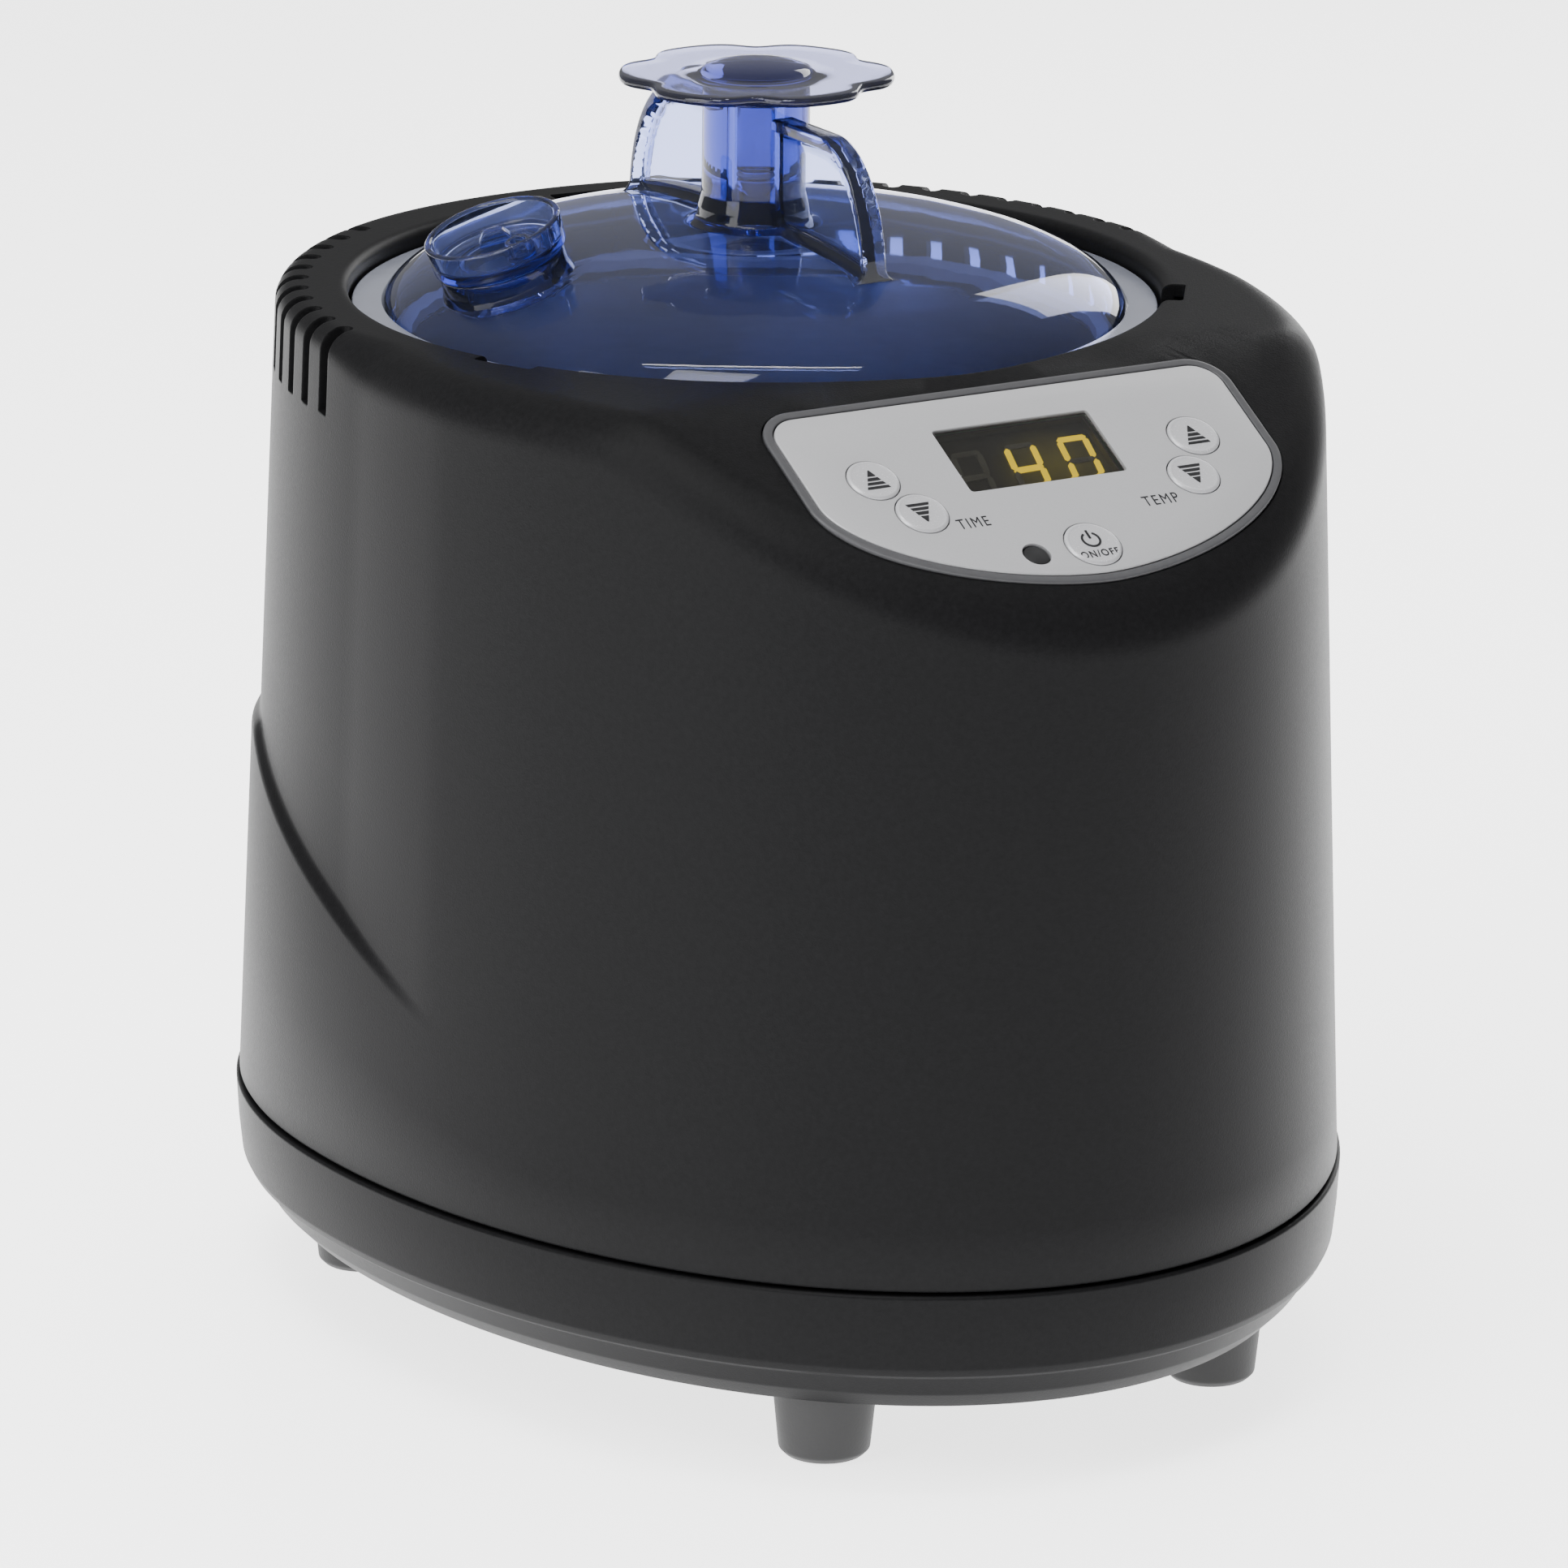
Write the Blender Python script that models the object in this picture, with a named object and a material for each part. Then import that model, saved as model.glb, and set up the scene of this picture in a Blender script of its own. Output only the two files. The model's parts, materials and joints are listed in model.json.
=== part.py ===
"""Portable steam heater: an oval plastic casing on a base tray, a lift-out pot over a cast heater plate,
a clear domed bayonet lid with a star knob and a filling cap, and a sloping control panel.

Metres, +Z up, front (the panel) towards -Y. The origin is under the middle of the casing, on the floor."""

import math

import bmesh
import bpy
import numpy as np
from mathutils import Matrix, Vector

# ---------------------------------------------------------------- driving dimensions (metres, degrees)
GAP = 0.0003                    # clearance between pieces that touch

# casing: an egg-shaped outline, drafted, with a flat top and a sloping front facet
HALF_WIDTH = 0.1118
OUTLINE_Y = 0.0165              # widest section
FRONT_DEPTH = 0.1527            # from the widest section forwards
REAR_DEPTH = 0.1197
REAR_POWER = 2.13               # superellipse power of the rear half
SEAM_Z = 0.0438
SEAM_STEP = 0.0008              # the casing stands this far inside the tray's lip
DRAFT = 0.040                   # inward lean of the wall, per metre of height
LEDGE_STEP = 0.0018             # the rear flanks are set back above a slanting ledge
LEDGE_SLOPE = 0.42
LEDGE_Y = -0.024
LEDGE_Z = 0.084
LEDGE_LOW = 0.070
LEDGE_HIGH = 0.124
LEDGE_SOFT = 0.0050             # height over which the ledge steps in
TOP_Z = 0.2207
WALL = 0.0028
EDGE_ROUND = 0.0095             # rounding between wall and top at the sides
REAR_ROUND = 0.0050             # and at the rear
ROUND_START = 0.008              # y where the edge starts to sharpen towards the rear
ROUND_BLEND = 0.020
FACET_ROUND = 0.0090            # rounding between wall and facet
FACET_TILT = math.radians(29.4)
FACET_Y = -0.0789               # a point on the facet
FACET_Z = 0.2132
CREASE_BLEND = 0.0016           # softness of the crease between top and facet
COLUMNS = 40                    # sections around the casing and the tray

# pot axis, casing mouth and bayonet
POT_Y = 0.0235
MOUTH_R = 0.0870
SKIRT_R = 0.0898
SKIRT_Z = 0.2125
NOTCH_ANGLES = (-35.0, -155.0, 85.0)
NOTCH_WIDTH = 0.0145
NOTCH_R = 0.0919

# vents
VENTS_PER_SIDE = 11
VENT_FIRST = 2.3                # degrees behind the side
VENT_PITCH = 5.6
VENT_WIDTH = 0.0042
VENT_Z = 0.2011
VENT_INNER_R = 0.0958

# control panel, in the facet's own frame: x across, y up the slope, z out of it
PANEL_HALF = 0.0534
PANEL_TOP = 0.0073
PANEL_SIDE_END = -0.0180
PANEL_BOTTOM = -0.0465
PANEL_POWER = 1.75
PANEL_CORNER = 0.0060
FACE_OUT = 0.0004                # how far the silver face reaches past that outline
BEZEL_OUT = 0.0027               # and the bezel round it
WINDOW_HALF = 0.0188
WINDOW_TOP = -0.0011
WINDOW_BOTTOM = -0.0197
BUTTON_R = 0.0056
BUTTONS = {
    "time_up": (-0.0385, -0.0127),
    "time_down": (-0.0326, -0.0237),
    "temp_up": (0.0385, -0.0127),
    "temp_down": (0.0326, -0.0237),
    "power": (0.0, -0.0389),
}
IR_AT = (-0.0136, -0.0393)
IR_R = 0.0028
BOARD_TOP = -0.0076
BOARD_THICK = 0.0014

# lid
DOME_R = 0.0815
DOME_RIM_Z = 0.2093
DOME_RISE = 0.0248
DOME_POWER = 2.43
DOME_ROOT = 2.61
DOME_WALL = 0.0026
LID_BOTTOM = 0.2079
STEM_R = 0.0115
STEM_TOP = 0.2615
BORE_R = 0.0046
WING_TOP = 0.2585
WING_REACH = 0.0500
KNOB_R = 0.0294
KNOB_UNDER = 0.2645
KNOB_THICK = 0.0020
BUTTON_DOME = 0.0026

# flat collar round the dome, which closes the mouth
COLLAR_INNER_R = 0.0795
COLLAR_R = 0.0862
COLLAR_LOW = 0.2156
COLLAR_TOP = 0.2168

# filling port on the left of the dome
PORT_RADIUS = 0.0604
PORT_Z = 0.2280
PORT_TILT = math.radians(18.4)

# pot, well and heater
POT_FLOOR = 0.0617
POT_RIM = 0.2076
WELL_R = 0.0805
WELL_FLOOR = 0.0460
WELL_FLANGE = 0.2058
EAR_ANGLES = (-45.0, -135.0, 90.0)
EAR_RADIUS = 0.0963

# base
TRAY_BOTTOM = 0.0158
FEET = {"front_left": (-0.0477, -0.0903), "front_right": (0.0477, -0.0903),
        "rear_left": (-0.0755, 0.0620), "rear_right": (0.0755, 0.0620)}
POSTS = {"front_left": (-129.3, 0.1105), "front_right": (-50.7, 0.1105),
         "rear_left": (130.0, 0.0933), "rear_right": (50.0, 0.0933)}
INLET_Z = 0.0700
BOARD_Z = 0.0225                 # underside of the power board
HEATER_TERMINAL = (0.0423, 0.0154)   # from the pot axis


# ---------------------------------------------------------------- tools
def clear_scene():
    for obj in list(bpy.data.objects):
        bpy.data.objects.remove(obj, do_unlink=True)


def material(name, colour, roughness, metallic=0.0, alpha=1.0):
    mat = bpy.data.materials.new(name)
    mat.use_nodes = True
    shader = mat.node_tree.nodes["Principled BSDF"]
    shader.inputs["Base Color"].default_value = (*colour, 1.0)
    shader.inputs["Roughness"].default_value = roughness
    shader.inputs["Metallic"].default_value = metallic
    shader.inputs["Alpha"].default_value = alpha
    return mat


def empty(name, location=(0, 0, 0), rotation=(0, 0, 0), parent=None):
    obj = bpy.data.objects.new(name, None)
    bpy.context.collection.objects.link(obj)
    obj.parent = parent
    obj.location = location
    obj.rotation_euler = rotation
    return obj


def add(name, bm, mat=None, parent=None, location=(0, 0, 0), rotation=(0, 0, 0), sharp=40.0):
    """Turn a bmesh into a named object with outward faces and smooth round surfaces."""
    bmesh.ops.recalc_face_normals(bm, faces=bm.faces)
    mesh = bpy.data.meshes.new(name)
    bm.to_mesh(mesh)
    bm.free()
    mesh.shade_smooth()
    mesh.set_sharp_from_angle(angle=math.radians(sharp))
    obj = bpy.data.objects.new(name, mesh)
    bpy.context.collection.objects.link(obj)
    if mat is not None:
        mesh.materials.append(mat)
    obj.parent = parent
    obj.location = location
    obj.rotation_euler = rotation
    return obj


def combine(target, tool, operation):
    """Apply one exact Boolean and remove the tool. Both are in the same parent's frame."""
    mod = target.modifiers.new(operation, "BOOLEAN")
    mod.operation = operation
    mod.solver = "EXACT"
    mod.object = tool
    bpy.context.view_layer.update()
    graph = bpy.context.evaluated_depsgraph_get()
    mesh = bpy.data.meshes.new_from_object(target.evaluated_get(graph))
    target.modifiers.clear()
    old = target.data
    target.data = mesh
    bpy.data.meshes.remove(old)
    bpy.data.objects.remove(tool, do_unlink=True)
    mesh.shade_smooth()
    mesh.set_sharp_from_angle(angle=math.radians(40.0))


def skin_rings(bm, rings, closed):
    """Join equal rings of points into a tube. closed joins the last ring to the first; otherwise both ends
    are capped."""
    loops = [[bm.verts.new(p) for p in ring] for ring in rings]
    count = len(loops[0])
    spans = len(loops) if closed else len(loops) - 1
    for i in range(spans):
        low = loops[i]
        high = loops[(i + 1) % len(loops)]
        for k in range(count):
            n = (k + 1) % count
            bm.faces.new((low[k], low[n], high[n], high[k]))
    if not closed:
        bm.faces.new(loops[0])
        bm.faces.new(loops[-1])


def turned(profile, segments, closed=False, centre=(0, 0)):
    """Turn (radius, z) points about Z. An open profile starts and ends on the axis; a closed one is a ring."""
    bm = bmesh.new()
    body = profile if closed else profile[1:-1]
    rings = []
    for radius, z in body:
        ring = []
        for k in range(segments):
            a = 2 * math.pi * k / segments
            ring.append((centre[0] + radius * math.cos(a), centre[1] + radius * math.sin(a), z))
        rings.append(ring)
    if closed:
        skin_rings(bm, rings, True)
        return bm
    loops = [[bm.verts.new(p) for p in ring] for ring in rings]
    for low, high in zip(loops, loops[1:]):
        for k in range(segments):
            n = (k + 1) % segments
            bm.faces.new((low[k], low[n], high[n], high[k]))
    for end, loop in ((profile[0], loops[0]), (profile[-1], loops[-1])):
        tip = bm.verts.new((centre[0], centre[1], end[1]))
        for k in range(segments):
            bm.faces.new((loop[k], loop[(k + 1) % segments], tip))
    return bm


def prism(points, low, high):
    """Extrude a flat outline of (x, y) points from z = low to z = high."""
    bm = bmesh.new()
    skin_rings(bm, [[(x, y, low) for x, y in points], [(x, y, high) for x, y in points]], False)
    return bm


def box(low, high):
    """A box between two opposite corners."""
    bm = bmesh.new()
    size = [h - l for l, h in zip(low, high)]
    middle = [(h + l) / 2 for l, h in zip(low, high)]
    bmesh.ops.create_cube(bm, size=1.0, matrix=Matrix.Translation(middle) @ Matrix.Diagonal((*size, 1.0)))
    return bm


def cylinder(radius, low, high, segments=16, centre=(0, 0)):
    profile = [(0, low), (radius, low), (radius, high), (0, high)]
    return turned(profile, segments, centre=centre)


def merge(parts):
    """Gather several separate solids into one bmesh, to use as one Boolean tool."""
    whole = bmesh.new()
    for bm in parts:
        mesh = bpy.data.meshes.new("part")
        bmesh.ops.recalc_face_normals(bm, faces=bm.faces)
        bm.to_mesh(mesh)
        bm.free()
        whole.from_mesh(mesh)
        bpy.data.meshes.remove(mesh)
    return whole


def moved(bm, matrix):
    bmesh.ops.transform(bm, matrix=matrix, verts=bm.verts)
    return bm


def spin_z(degrees):
    return Matrix.Rotation(math.radians(degrees), 4, "Z")


def polar(degrees, radius):
    """A point at an azimuth and radius about the pot axis, in world x and y."""
    a = math.radians(degrees)
    return radius * math.cos(a), POT_Y + radius * math.sin(a)


def tube(name, points, radius, mat, parent=None, sides=2):
    """A round wire through a smooth route, with closed ends."""
    curve = bpy.data.curves.new(name, "CURVE")
    curve.dimensions = "3D"
    curve.bevel_depth = radius
    curve.bevel_resolution = sides
    curve.use_fill_caps = True
    spline = curve.splines.new("POLY")
    spline.points.add(len(points) - 1)
    for slot, point in zip(spline.points, points):
        slot.co = (*point, 1.0)
    curve.materials.append(mat)
    obj = bpy.data.objects.new(name, curve)
    bpy.context.collection.objects.link(obj)
    obj.parent = parent
    return obj


def smooth_route(points, steps=3):
    """Catmull-Rom points through a hand-chosen route."""
    pts = [Vector(p) for p in points]
    pts = [pts[0]] + pts + [pts[-1]]
    out = []
    for a, b, c, d in zip(pts, pts[1:], pts[2:], pts[3:]):
        for k in range(steps):
            t = k / steps
            out.append(0.5 * (2 * b + (c - a) * t + (2 * a - 5 * b + 4 * c - d) * t ** 2
                              + (3 * b - a - 3 * c + d) * t ** 3))
    out.append(pts[-1])
    return out


# ---------------------------------------------------------------- casing shape
def outline_radius(phi, shrink):
    """Distance from the pot axis to the egg-shaped outline, drawn in by shrink, at azimuth phi (arrays)."""
    phi, shrink = np.broadcast_arrays(phi, shrink)
    low = np.full(phi.shape, 0.04)
    high = np.full(phi.shape, 0.20)
    for _ in range(36):
        mid = (low + high) / 2
        x = np.abs(mid * np.cos(phi)) / (HALF_WIDTH - shrink)
        dy = POT_Y + mid * np.sin(phi) - OUTLINE_Y
        front = dy < 0
        depth = np.where(front, FRONT_DEPTH, REAR_DEPTH) - shrink
        power = np.where(front, 2.0, REAR_POWER)
        inside = x ** power + (np.abs(dy) / depth) ** power < 1
        low = np.where(inside, mid, low)
        high = np.where(inside, high, mid)
    return (low + high) / 2


def wall_shrink(phi, z):
    """How far the casing's wall stands inside the seam outline at azimuth phi and height z (arrays)."""
    y = POT_Y + outline_radius(phi, 0.0) * np.sin(phi)
    ledge = np.clip(LEDGE_Z + LEDGE_SLOPE * (y - LEDGE_Y), LEDGE_LOW, LEDGE_HIGH)
    fade = np.clip((y - LEDGE_Y) / 0.022 + 1, 0, 1)
    above = np.clip((z - ledge) / LEDGE_SOFT + 0.5, 0, 1)
    return SEAM_STEP + DRAFT * (z - SEAM_Z) + LEDGE_STEP * fade * above, ledge


def top_height(y, drop):
    """Height of the casing's top and facet at depth y, lowered by drop measured square to each face."""
    flat = TOP_Z - drop
    slope = FACET_Z + (y - FACET_Y) * math.tan(FACET_TILT) - drop / math.cos(FACET_TILT)
    return (flat + slope - np.sqrt((flat - slope) ** 2 + CREASE_BLEND ** 2)) / 2


def casing_rows(phi, inset, bottom, inner_r, corner, top_steps):
    """Points (radius, z) up one vertical section of the casing, from the seam over the edge to inner_r.
    corner lists distances from the sharp corner at which the rounding is sampled."""
    def wall(z):
        return outline_radius(phi, inset + wall_shrink(phi, z)[0])

    corner_z = np.full(phi.shape, TOP_Z - inset)
    for _ in range(12):
        corner_r = wall(corner_z)
        corner_z = top_height(POT_Y + corner_r * np.sin(phi), inset)
    reach = max(corner)
    ledge = wall_shrink(phi, corner_z)[1]
    rows = []
    for z in (np.full(phi.shape, bottom), ledge - LEDGE_SOFT / 2, ledge + LEDGE_SOFT / 2, corner_z - reach):
        rows.append((wall(z), z))
    for step in sorted(corner, reverse=True)[1:]:
        z = corner_z - step
        rows.append((wall(z), z))
    fit = np.minimum(1.0, 0.82 * (corner_r - inner_r) / reach)
    for step in sorted(corner)[1:]:
        radius = corner_r - step * fit
        rows.append((radius, top_height(POT_Y + radius * np.sin(phi), inset)))
    start = corner_r - reach * fit
    for k in range(1, top_steps + 1):
        radius = start + (inner_r - start) * k / top_steps
        rows.append((radius, top_height(POT_Y + radius * np.sin(phi), inset)))

    facet_share = np.clip((TOP_Z - inset - corner_z) / 0.012, 0, 1)
    rear_share = np.clip((POT_Y + corner_r * np.sin(phi) - ROUND_START) / ROUND_BLEND, 0, 1)
    rounding = EDGE_ROUND + (REAR_ROUND - EDGE_ROUND) * rear_share
    rounding = np.maximum(rounding + (FACET_ROUND - EDGE_ROUND) * facet_share - inset, 0.0012)
    eye_r, eye_z = 0.080, 0.190

    def outside(radius, z):
        to_wall = radius - wall(z) + rounding
        to_top = z - top_height(POT_Y + radius * np.sin(phi), inset) + rounding
        both = (to_wall > 0) & (to_top > 0)
        return np.where(both, np.hypot(to_wall, to_top), np.maximum(to_wall, to_top)) - rounding

    fitted = []
    for number, (radius, z) in enumerate(rows):
        if number < 3 or number == len(rows) - 1:
            fitted.append((radius, z))
            continue
        near = np.zeros(phi.shape)
        far = np.full(phi.shape, 1.0)
        for _ in range(24):
            t = (near + far) / 2
            out = outside(eye_r + (radius - eye_r) * t, eye_z + (z - eye_z) * t) > 0
            far = np.where(out, t, far)
            near = np.where(out, near, t)
        fitted.append((eye_r + (radius - eye_r) * far, eye_z + (z - eye_z) * far))
    return fitted


def ring_points(phi, radius, z):
    radius, z = np.broadcast_arrays(radius, z)
    if radius.shape != phi.shape:
        radius = np.full(phi.shape, float(radius))
        z = np.full(phi.shape, float(z))
    return [(float(r * math.cos(a)), float(POT_Y + r * math.sin(a)), float(h))
            for a, r, h in zip(phi, radius, z)]


def azimuths():
    return np.radians(np.arange(COLUMNS) * 360.0 / COLUMNS)


# ---------------------------------------------------------------- control panel shape
def panel_outline(offset, corner_steps=3, arc_steps=9):
    """The shield outline of the panel plate, grown by offset, as (x, y) points going round."""
    half = PANEL_HALF + offset
    top = PANEL_TOP + offset
    corner = max(PANEL_CORNER + offset, 0.001)
    depth = PANEL_SIDE_END - PANEL_BOTTOM + offset
    points = []
    for k in range(corner_steps + 1):
        a = math.pi / 2 * k / corner_steps
        points.append((half - corner + corner * math.cos(a), top - corner + corner * math.sin(a)))
    for x, y in reversed(points[:corner_steps + 1]):
        points.append((-x, y))
    for k in range(arc_steps * 2 + 1):
        a = math.pi + math.pi * k / (arc_steps * 2)
        c, s = math.cos(a), -math.sin(a)
        x = math.copysign(abs(c) ** (2 / PANEL_POWER), c) * half
        y = PANEL_SIDE_END - max(s, 0.0) ** (2 / PANEL_POWER) * depth
        points.append((x, y))
    return points


def panel_frame_bmesh(sections):
    """A frame swept round the panel outline. sections lists (offset, z) of its closed cross-section."""
    bm = bmesh.new()
    rings = [[(x, y, z) for x, y in panel_outline(offset)] for offset, z in sections]
    skin_rings(bm, rings, True)
    return bm


# ---------------------------------------------------------------- sub-parts
def build_casing(mat, panel):
    phi = azimuths()
    bottom = SEAM_Z + 0.0004
    outer = casing_rows(phi, 0.0, bottom, MOUTH_R, (0.0, 0.0035, 0.008, 0.015), 1)
    inner = casing_rows(phi, WALL, bottom, SKIRT_R, (0.0, 0.006, 0.013), 1)
    rings = [ring_points(phi, r, z) for r, z in outer]
    rings.append(ring_points(phi, MOUTH_R, SKIRT_Z))
    rings.append(ring_points(phi, SKIRT_R, SKIRT_Z))
    rings += [ring_points(phi, r, z) for r, z in reversed(inner)]
    bm = bmesh.new()
    skin_rings(bm, rings, True)
    casing = add("upper_casing", bm, mat)

    solids = []
    for degrees, radius in POSTS.values():
        reach = float(outline_radius(np.array([math.radians(degrees)]), DRAFT * 0.012)[0]) - WALL / 2
        x, y = polar(degrees, radius)
        solids.append(cylinder(0.0050, 0.0320, 0.0620, 10, (x, y)))
        rib = box((radius, -0.0011, 0.0500), (reach, 0.0011, 0.0600))
        moved(rib, Matrix.Translation((0, POT_Y, 0)) @ spin_z(degrees))
        combine(casing, add("rib", rib), "UNION")
    for degrees in EAR_ANGLES:
        solids.append(cylinder(0.0036, WELL_FLANGE + GAP, TOP_Z - WALL / 2, 8, polar(degrees, EAR_RADIUS)))
    solids.append(box((-0.0190, 0.1285, INLET_Z - 0.0155), (0.0190, 0.1335, INLET_Z + 0.0155)))
    combine(casing, add("bosses", merge(solids)), "UNION")

    holes = []
    for degrees, radius in POSTS.values():
        holes.append(cylinder(0.0017, 0.0300, 0.0460, 6, polar(degrees, radius)))
    for degrees in EAR_ANGLES:
        holes.append(cylinder(0.0017, 0.2040, 0.2150, 6, polar(degrees, EAR_RADIUS)))
    for side in (1, -1):
        for k in range(VENTS_PER_SIDE):
            turn = VENT_FIRST + VENT_PITCH * k
            slot = box((VENT_INNER_R, -VENT_WIDTH / 2, VENT_Z), (0.125, VENT_WIDTH / 2, 0.230))
            moved(slot, Matrix.Translation((0, POT_Y, 0)) @ spin_z(turn if side > 0 else 180.0 - turn))
            holes.append(slot)
    for degrees in NOTCH_ANGLES:
        notch = box((0.080, -NOTCH_WIDTH / 2, 0.2080), (NOTCH_R, NOTCH_WIDTH / 2, 0.230))
        moved(notch, Matrix.Translation((0, POT_Y, 0)) @ spin_z(degrees))
        holes.append(notch)
    holes.append(box((-0.0153, 0.1315, INLET_Z - 0.0123), (0.0153, 0.145, INLET_Z + 0.0123)))
    combine(casing, add("holes", merge(holes)), "DIFFERENCE")
    combine(casing, add("inlet_hole", box((-0.0138, 0.110, INLET_Z - 0.0101), (0.0138, 0.140, INLET_Z + 0.0101))),
            "DIFFERENCE")
    recess = add("recess", moved(prism(panel_outline(BEZEL_OUT + GAP), -0.0015, 0.010), panel.matrix_world))
    combine(casing, recess, "DIFFERENCE")
    through = add("through", moved(prism(panel_outline(0.0016), -0.010, 0.010), panel.matrix_world))
    combine(casing, through, "DIFFERENCE")
    return casing


def build_tray(mat):
    phi = azimuths()
    sections = ((0.0122, TRAY_BOTTOM), (0.0102, 0.0164), (0.0062, 0.0202), (0.0036, 0.0246), (0.0022, 0.0256),
                (0.0013, 0.0272), (0.0006, 0.0340), (0.0001, 0.0435), (0.0040, 0.0435), (0.0040, 0.0475),
                (0.0054, 0.0475), (0.0054, 0.0415), (0.0032, 0.0392), (0.0040, 0.0285), (0.0068, 0.0240),
                (0.0132, TRAY_BOTTOM + 0.0026))
    rings = [ring_points(phi, outline_radius(phi, inset), np.full(phi.shape, z)) for inset, z in sections]
    bm = bmesh.new()
    skin_rings(bm, rings, False)
    tray = add("base_tray", bm, mat)
    solids = [cylinder(0.0045, 0.0170, 0.0260, 10, at) for at in FEET.values()]
    for degrees, radius in POSTS.values():
        solids.append(cylinder(0.0056, 0.0170, 0.0317, 10, polar(degrees, radius)))
    for x in (-0.037, 0.037):
        for y in (-0.099, -0.061):
            solids.append(cylinder(0.0030, 0.0170, 0.0222, 8, (x, y)))
    combine(tray, add("pillars", merge(solids)), "UNION")
    holes = [cylinder(0.0017, 0.0100, 0.0245, 6, at) for at in FEET.values()]
    for degrees, radius in POSTS.values():
        at = polar(degrees, radius)
        stepped = [(0, 0.0100), (0.0042, 0.0100), (0.0042, 0.0270), (0.0017, 0.0270), (0.0017, 0.0340),
                   (0, 0.0340)]
        holes.append(turned(stepped, 8, centre=at))
    combine(tray, add("drillings", merge(holes)), "DIFFERENCE")


def screw(name, mat, at, head, shank, parent=None):
    """A pan-head screw along Z. head and shank are (radius, low z, high z)."""
    profile = [(0, head[1]), (head[0] * 0.8, head[1]), (head[0], head[1] + 0.0008), (head[0], head[2]),
               (shank[0], head[2]), (shank[0], shank[2]), (0, shank[2] + 0.0006)]
    add(name, turned(profile, 8), mat, parent, (at[0], at[1], 0))


def build_feet(rubber, steel):
    profile = [(0.0045, 0.0), (0.0082, 0.0), (0.0096, 0.0014), (0.0110, TRAY_BOTTOM - GAP),
               (0.0017, TRAY_BOTTOM - GAP), (0.0017, 0.0115), (0.0045, 0.0115)]
    for place, at in FEET.items():
        add("foot_" + place, turned(profile, 14, closed=True), rubber, None, (at[0], at[1], 0))
        screw("foot_screw_" + place, steel, at, (0.0038, 0.0085, 0.0112), (0.0012, 0.0112, 0.0230))
    for place, (degrees, radius) in POSTS.items():
        screw("casing_screw_" + place, steel, polar(degrees, radius), (0.0038, 0.0240, 0.0267),
              (0.0012, 0.0267, 0.0430))


def build_pot(mat, axis):
    profile = [(0, POT_FLOOR), (0.0660, POT_FLOOR), (0.0700, 0.0632), (0.0715, 0.0680), (0.0760, 0.2020),
               (0.0774, 0.2063), (0.0850, 0.2063), (0.0855, 0.2069), (0.0850, POT_RIM), (0.0765, POT_RIM),
               (0.0750, 0.2062), (0.0747, 0.2000), (0.0703, 0.0685), (0.0690, 0.0645), (0.0655, 0.0629),
               (0, 0.0629)]
    add("inner_pot", turned(profile, 32), mat, axis)


def build_well(mat, steel, axis):
    profile = [(0.0060, WELL_FLOOR), (0.0798, WELL_FLOOR), (0.0813, 0.0475), (0.0813, WELL_FLANGE - 0.0012),
               (0.0925, WELL_FLANGE - 0.0012), (0.0925, WELL_FLANGE), (WELL_R, WELL_FLANGE),
               (WELL_R, 0.0480), (0.0792, WELL_FLOOR + 0.0012), (0.0060, WELL_FLOOR + 0.0012)]
    well = add("pot_well", turned(profile, 32, closed=True), mat, axis)
    ears = []
    holes = []
    for degrees in EAR_ANGLES:
        ear = box((0.0890, -0.0050, WELL_FLANGE - 0.0011), (0.0998, 0.0050, WELL_FLANGE - 0.0001))
        ears.append(moved(ear, spin_z(degrees)))
        hole = cylinder(0.0016, 0.2000, 0.2080, 10, (EAR_RADIUS, 0))
        holes.append(moved(hole, spin_z(degrees)))
    for side in (1, -1):
        holes.append(cylinder(0.0048, 0.0430, 0.0500, 10, (0.045 * math.cos(0.35), side * 0.045 * math.sin(0.35))))
    ear_tool = add("ears", merge(ears), parent=axis)
    combine(well, ear_tool, "UNION")
    combine(well, add("well_holes", merge(holes), parent=axis), "DIFFERENCE")
    for number, degrees in enumerate(EAR_ANGLES, 1):
        screw(f"well_screw_{number}", steel, polar(degrees, EAR_RADIUS), (0.0030, 0.2018, 0.2043),
              (0.0012, 0.2043, 0.2130))


def build_heater(cast, element, sensor_mat, axis):
    profile = [(0.0125, 0.0555), (0.0660, 0.0555), (0.0680, 0.0575), (0.0680, 0.0608), (0.0670, 0.0614),
               (0.0125, 0.0614)]
    plate = add("heater_plate", turned(profile, 30, closed=True), cast, axis)
    legs = [moved(cylinder(0.0050, 0.0475, 0.0560, 12, (0.060, 0)), spin_z(a)) for a in (60, 180, 300)]
    combine(plate, add("legs", merge(legs), parent=axis), "UNION")

    radius, z = 0.045, 0.0520
    start, end = 0.35, 2 * math.pi - 0.35
    route = [(radius * math.cos(start), radius * math.sin(start), 0.0400)]
    route.append((radius * math.cos(start), radius * math.sin(start), z - 0.002))
    for k in range(1, 24):
        a = start + (end - start) * k / 24
        route.append((radius * math.cos(a), radius * math.sin(a), z))
    route.append((radius * math.cos(end), radius * math.sin(end), z - 0.002))
    route.append((radius * math.cos(end), radius * math.sin(end), 0.0400))
    tube("heating_element", route, 0.0030, element, axis, 1)

    sensor = [(0, 0.0400), (0.0035, 0.0400), (0.0035, 0.0570), (0.0105, 0.0575), (0.0110, 0.0608), (0, 0.0614)]
    add("temperature_sensor", turned(sensor, 16), sensor_mat, axis)
    cutout = [(0, 0.0370), (0.0060, 0.0370), (0.0060, 0.0410), (0.0085, 0.0410), (0.0085, 0.0457), (0, 0.0457)]
    add("thermal_cutout", turned(cutout, 14), sensor_mat, axis, (-0.028, -0.012, 0))


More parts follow.
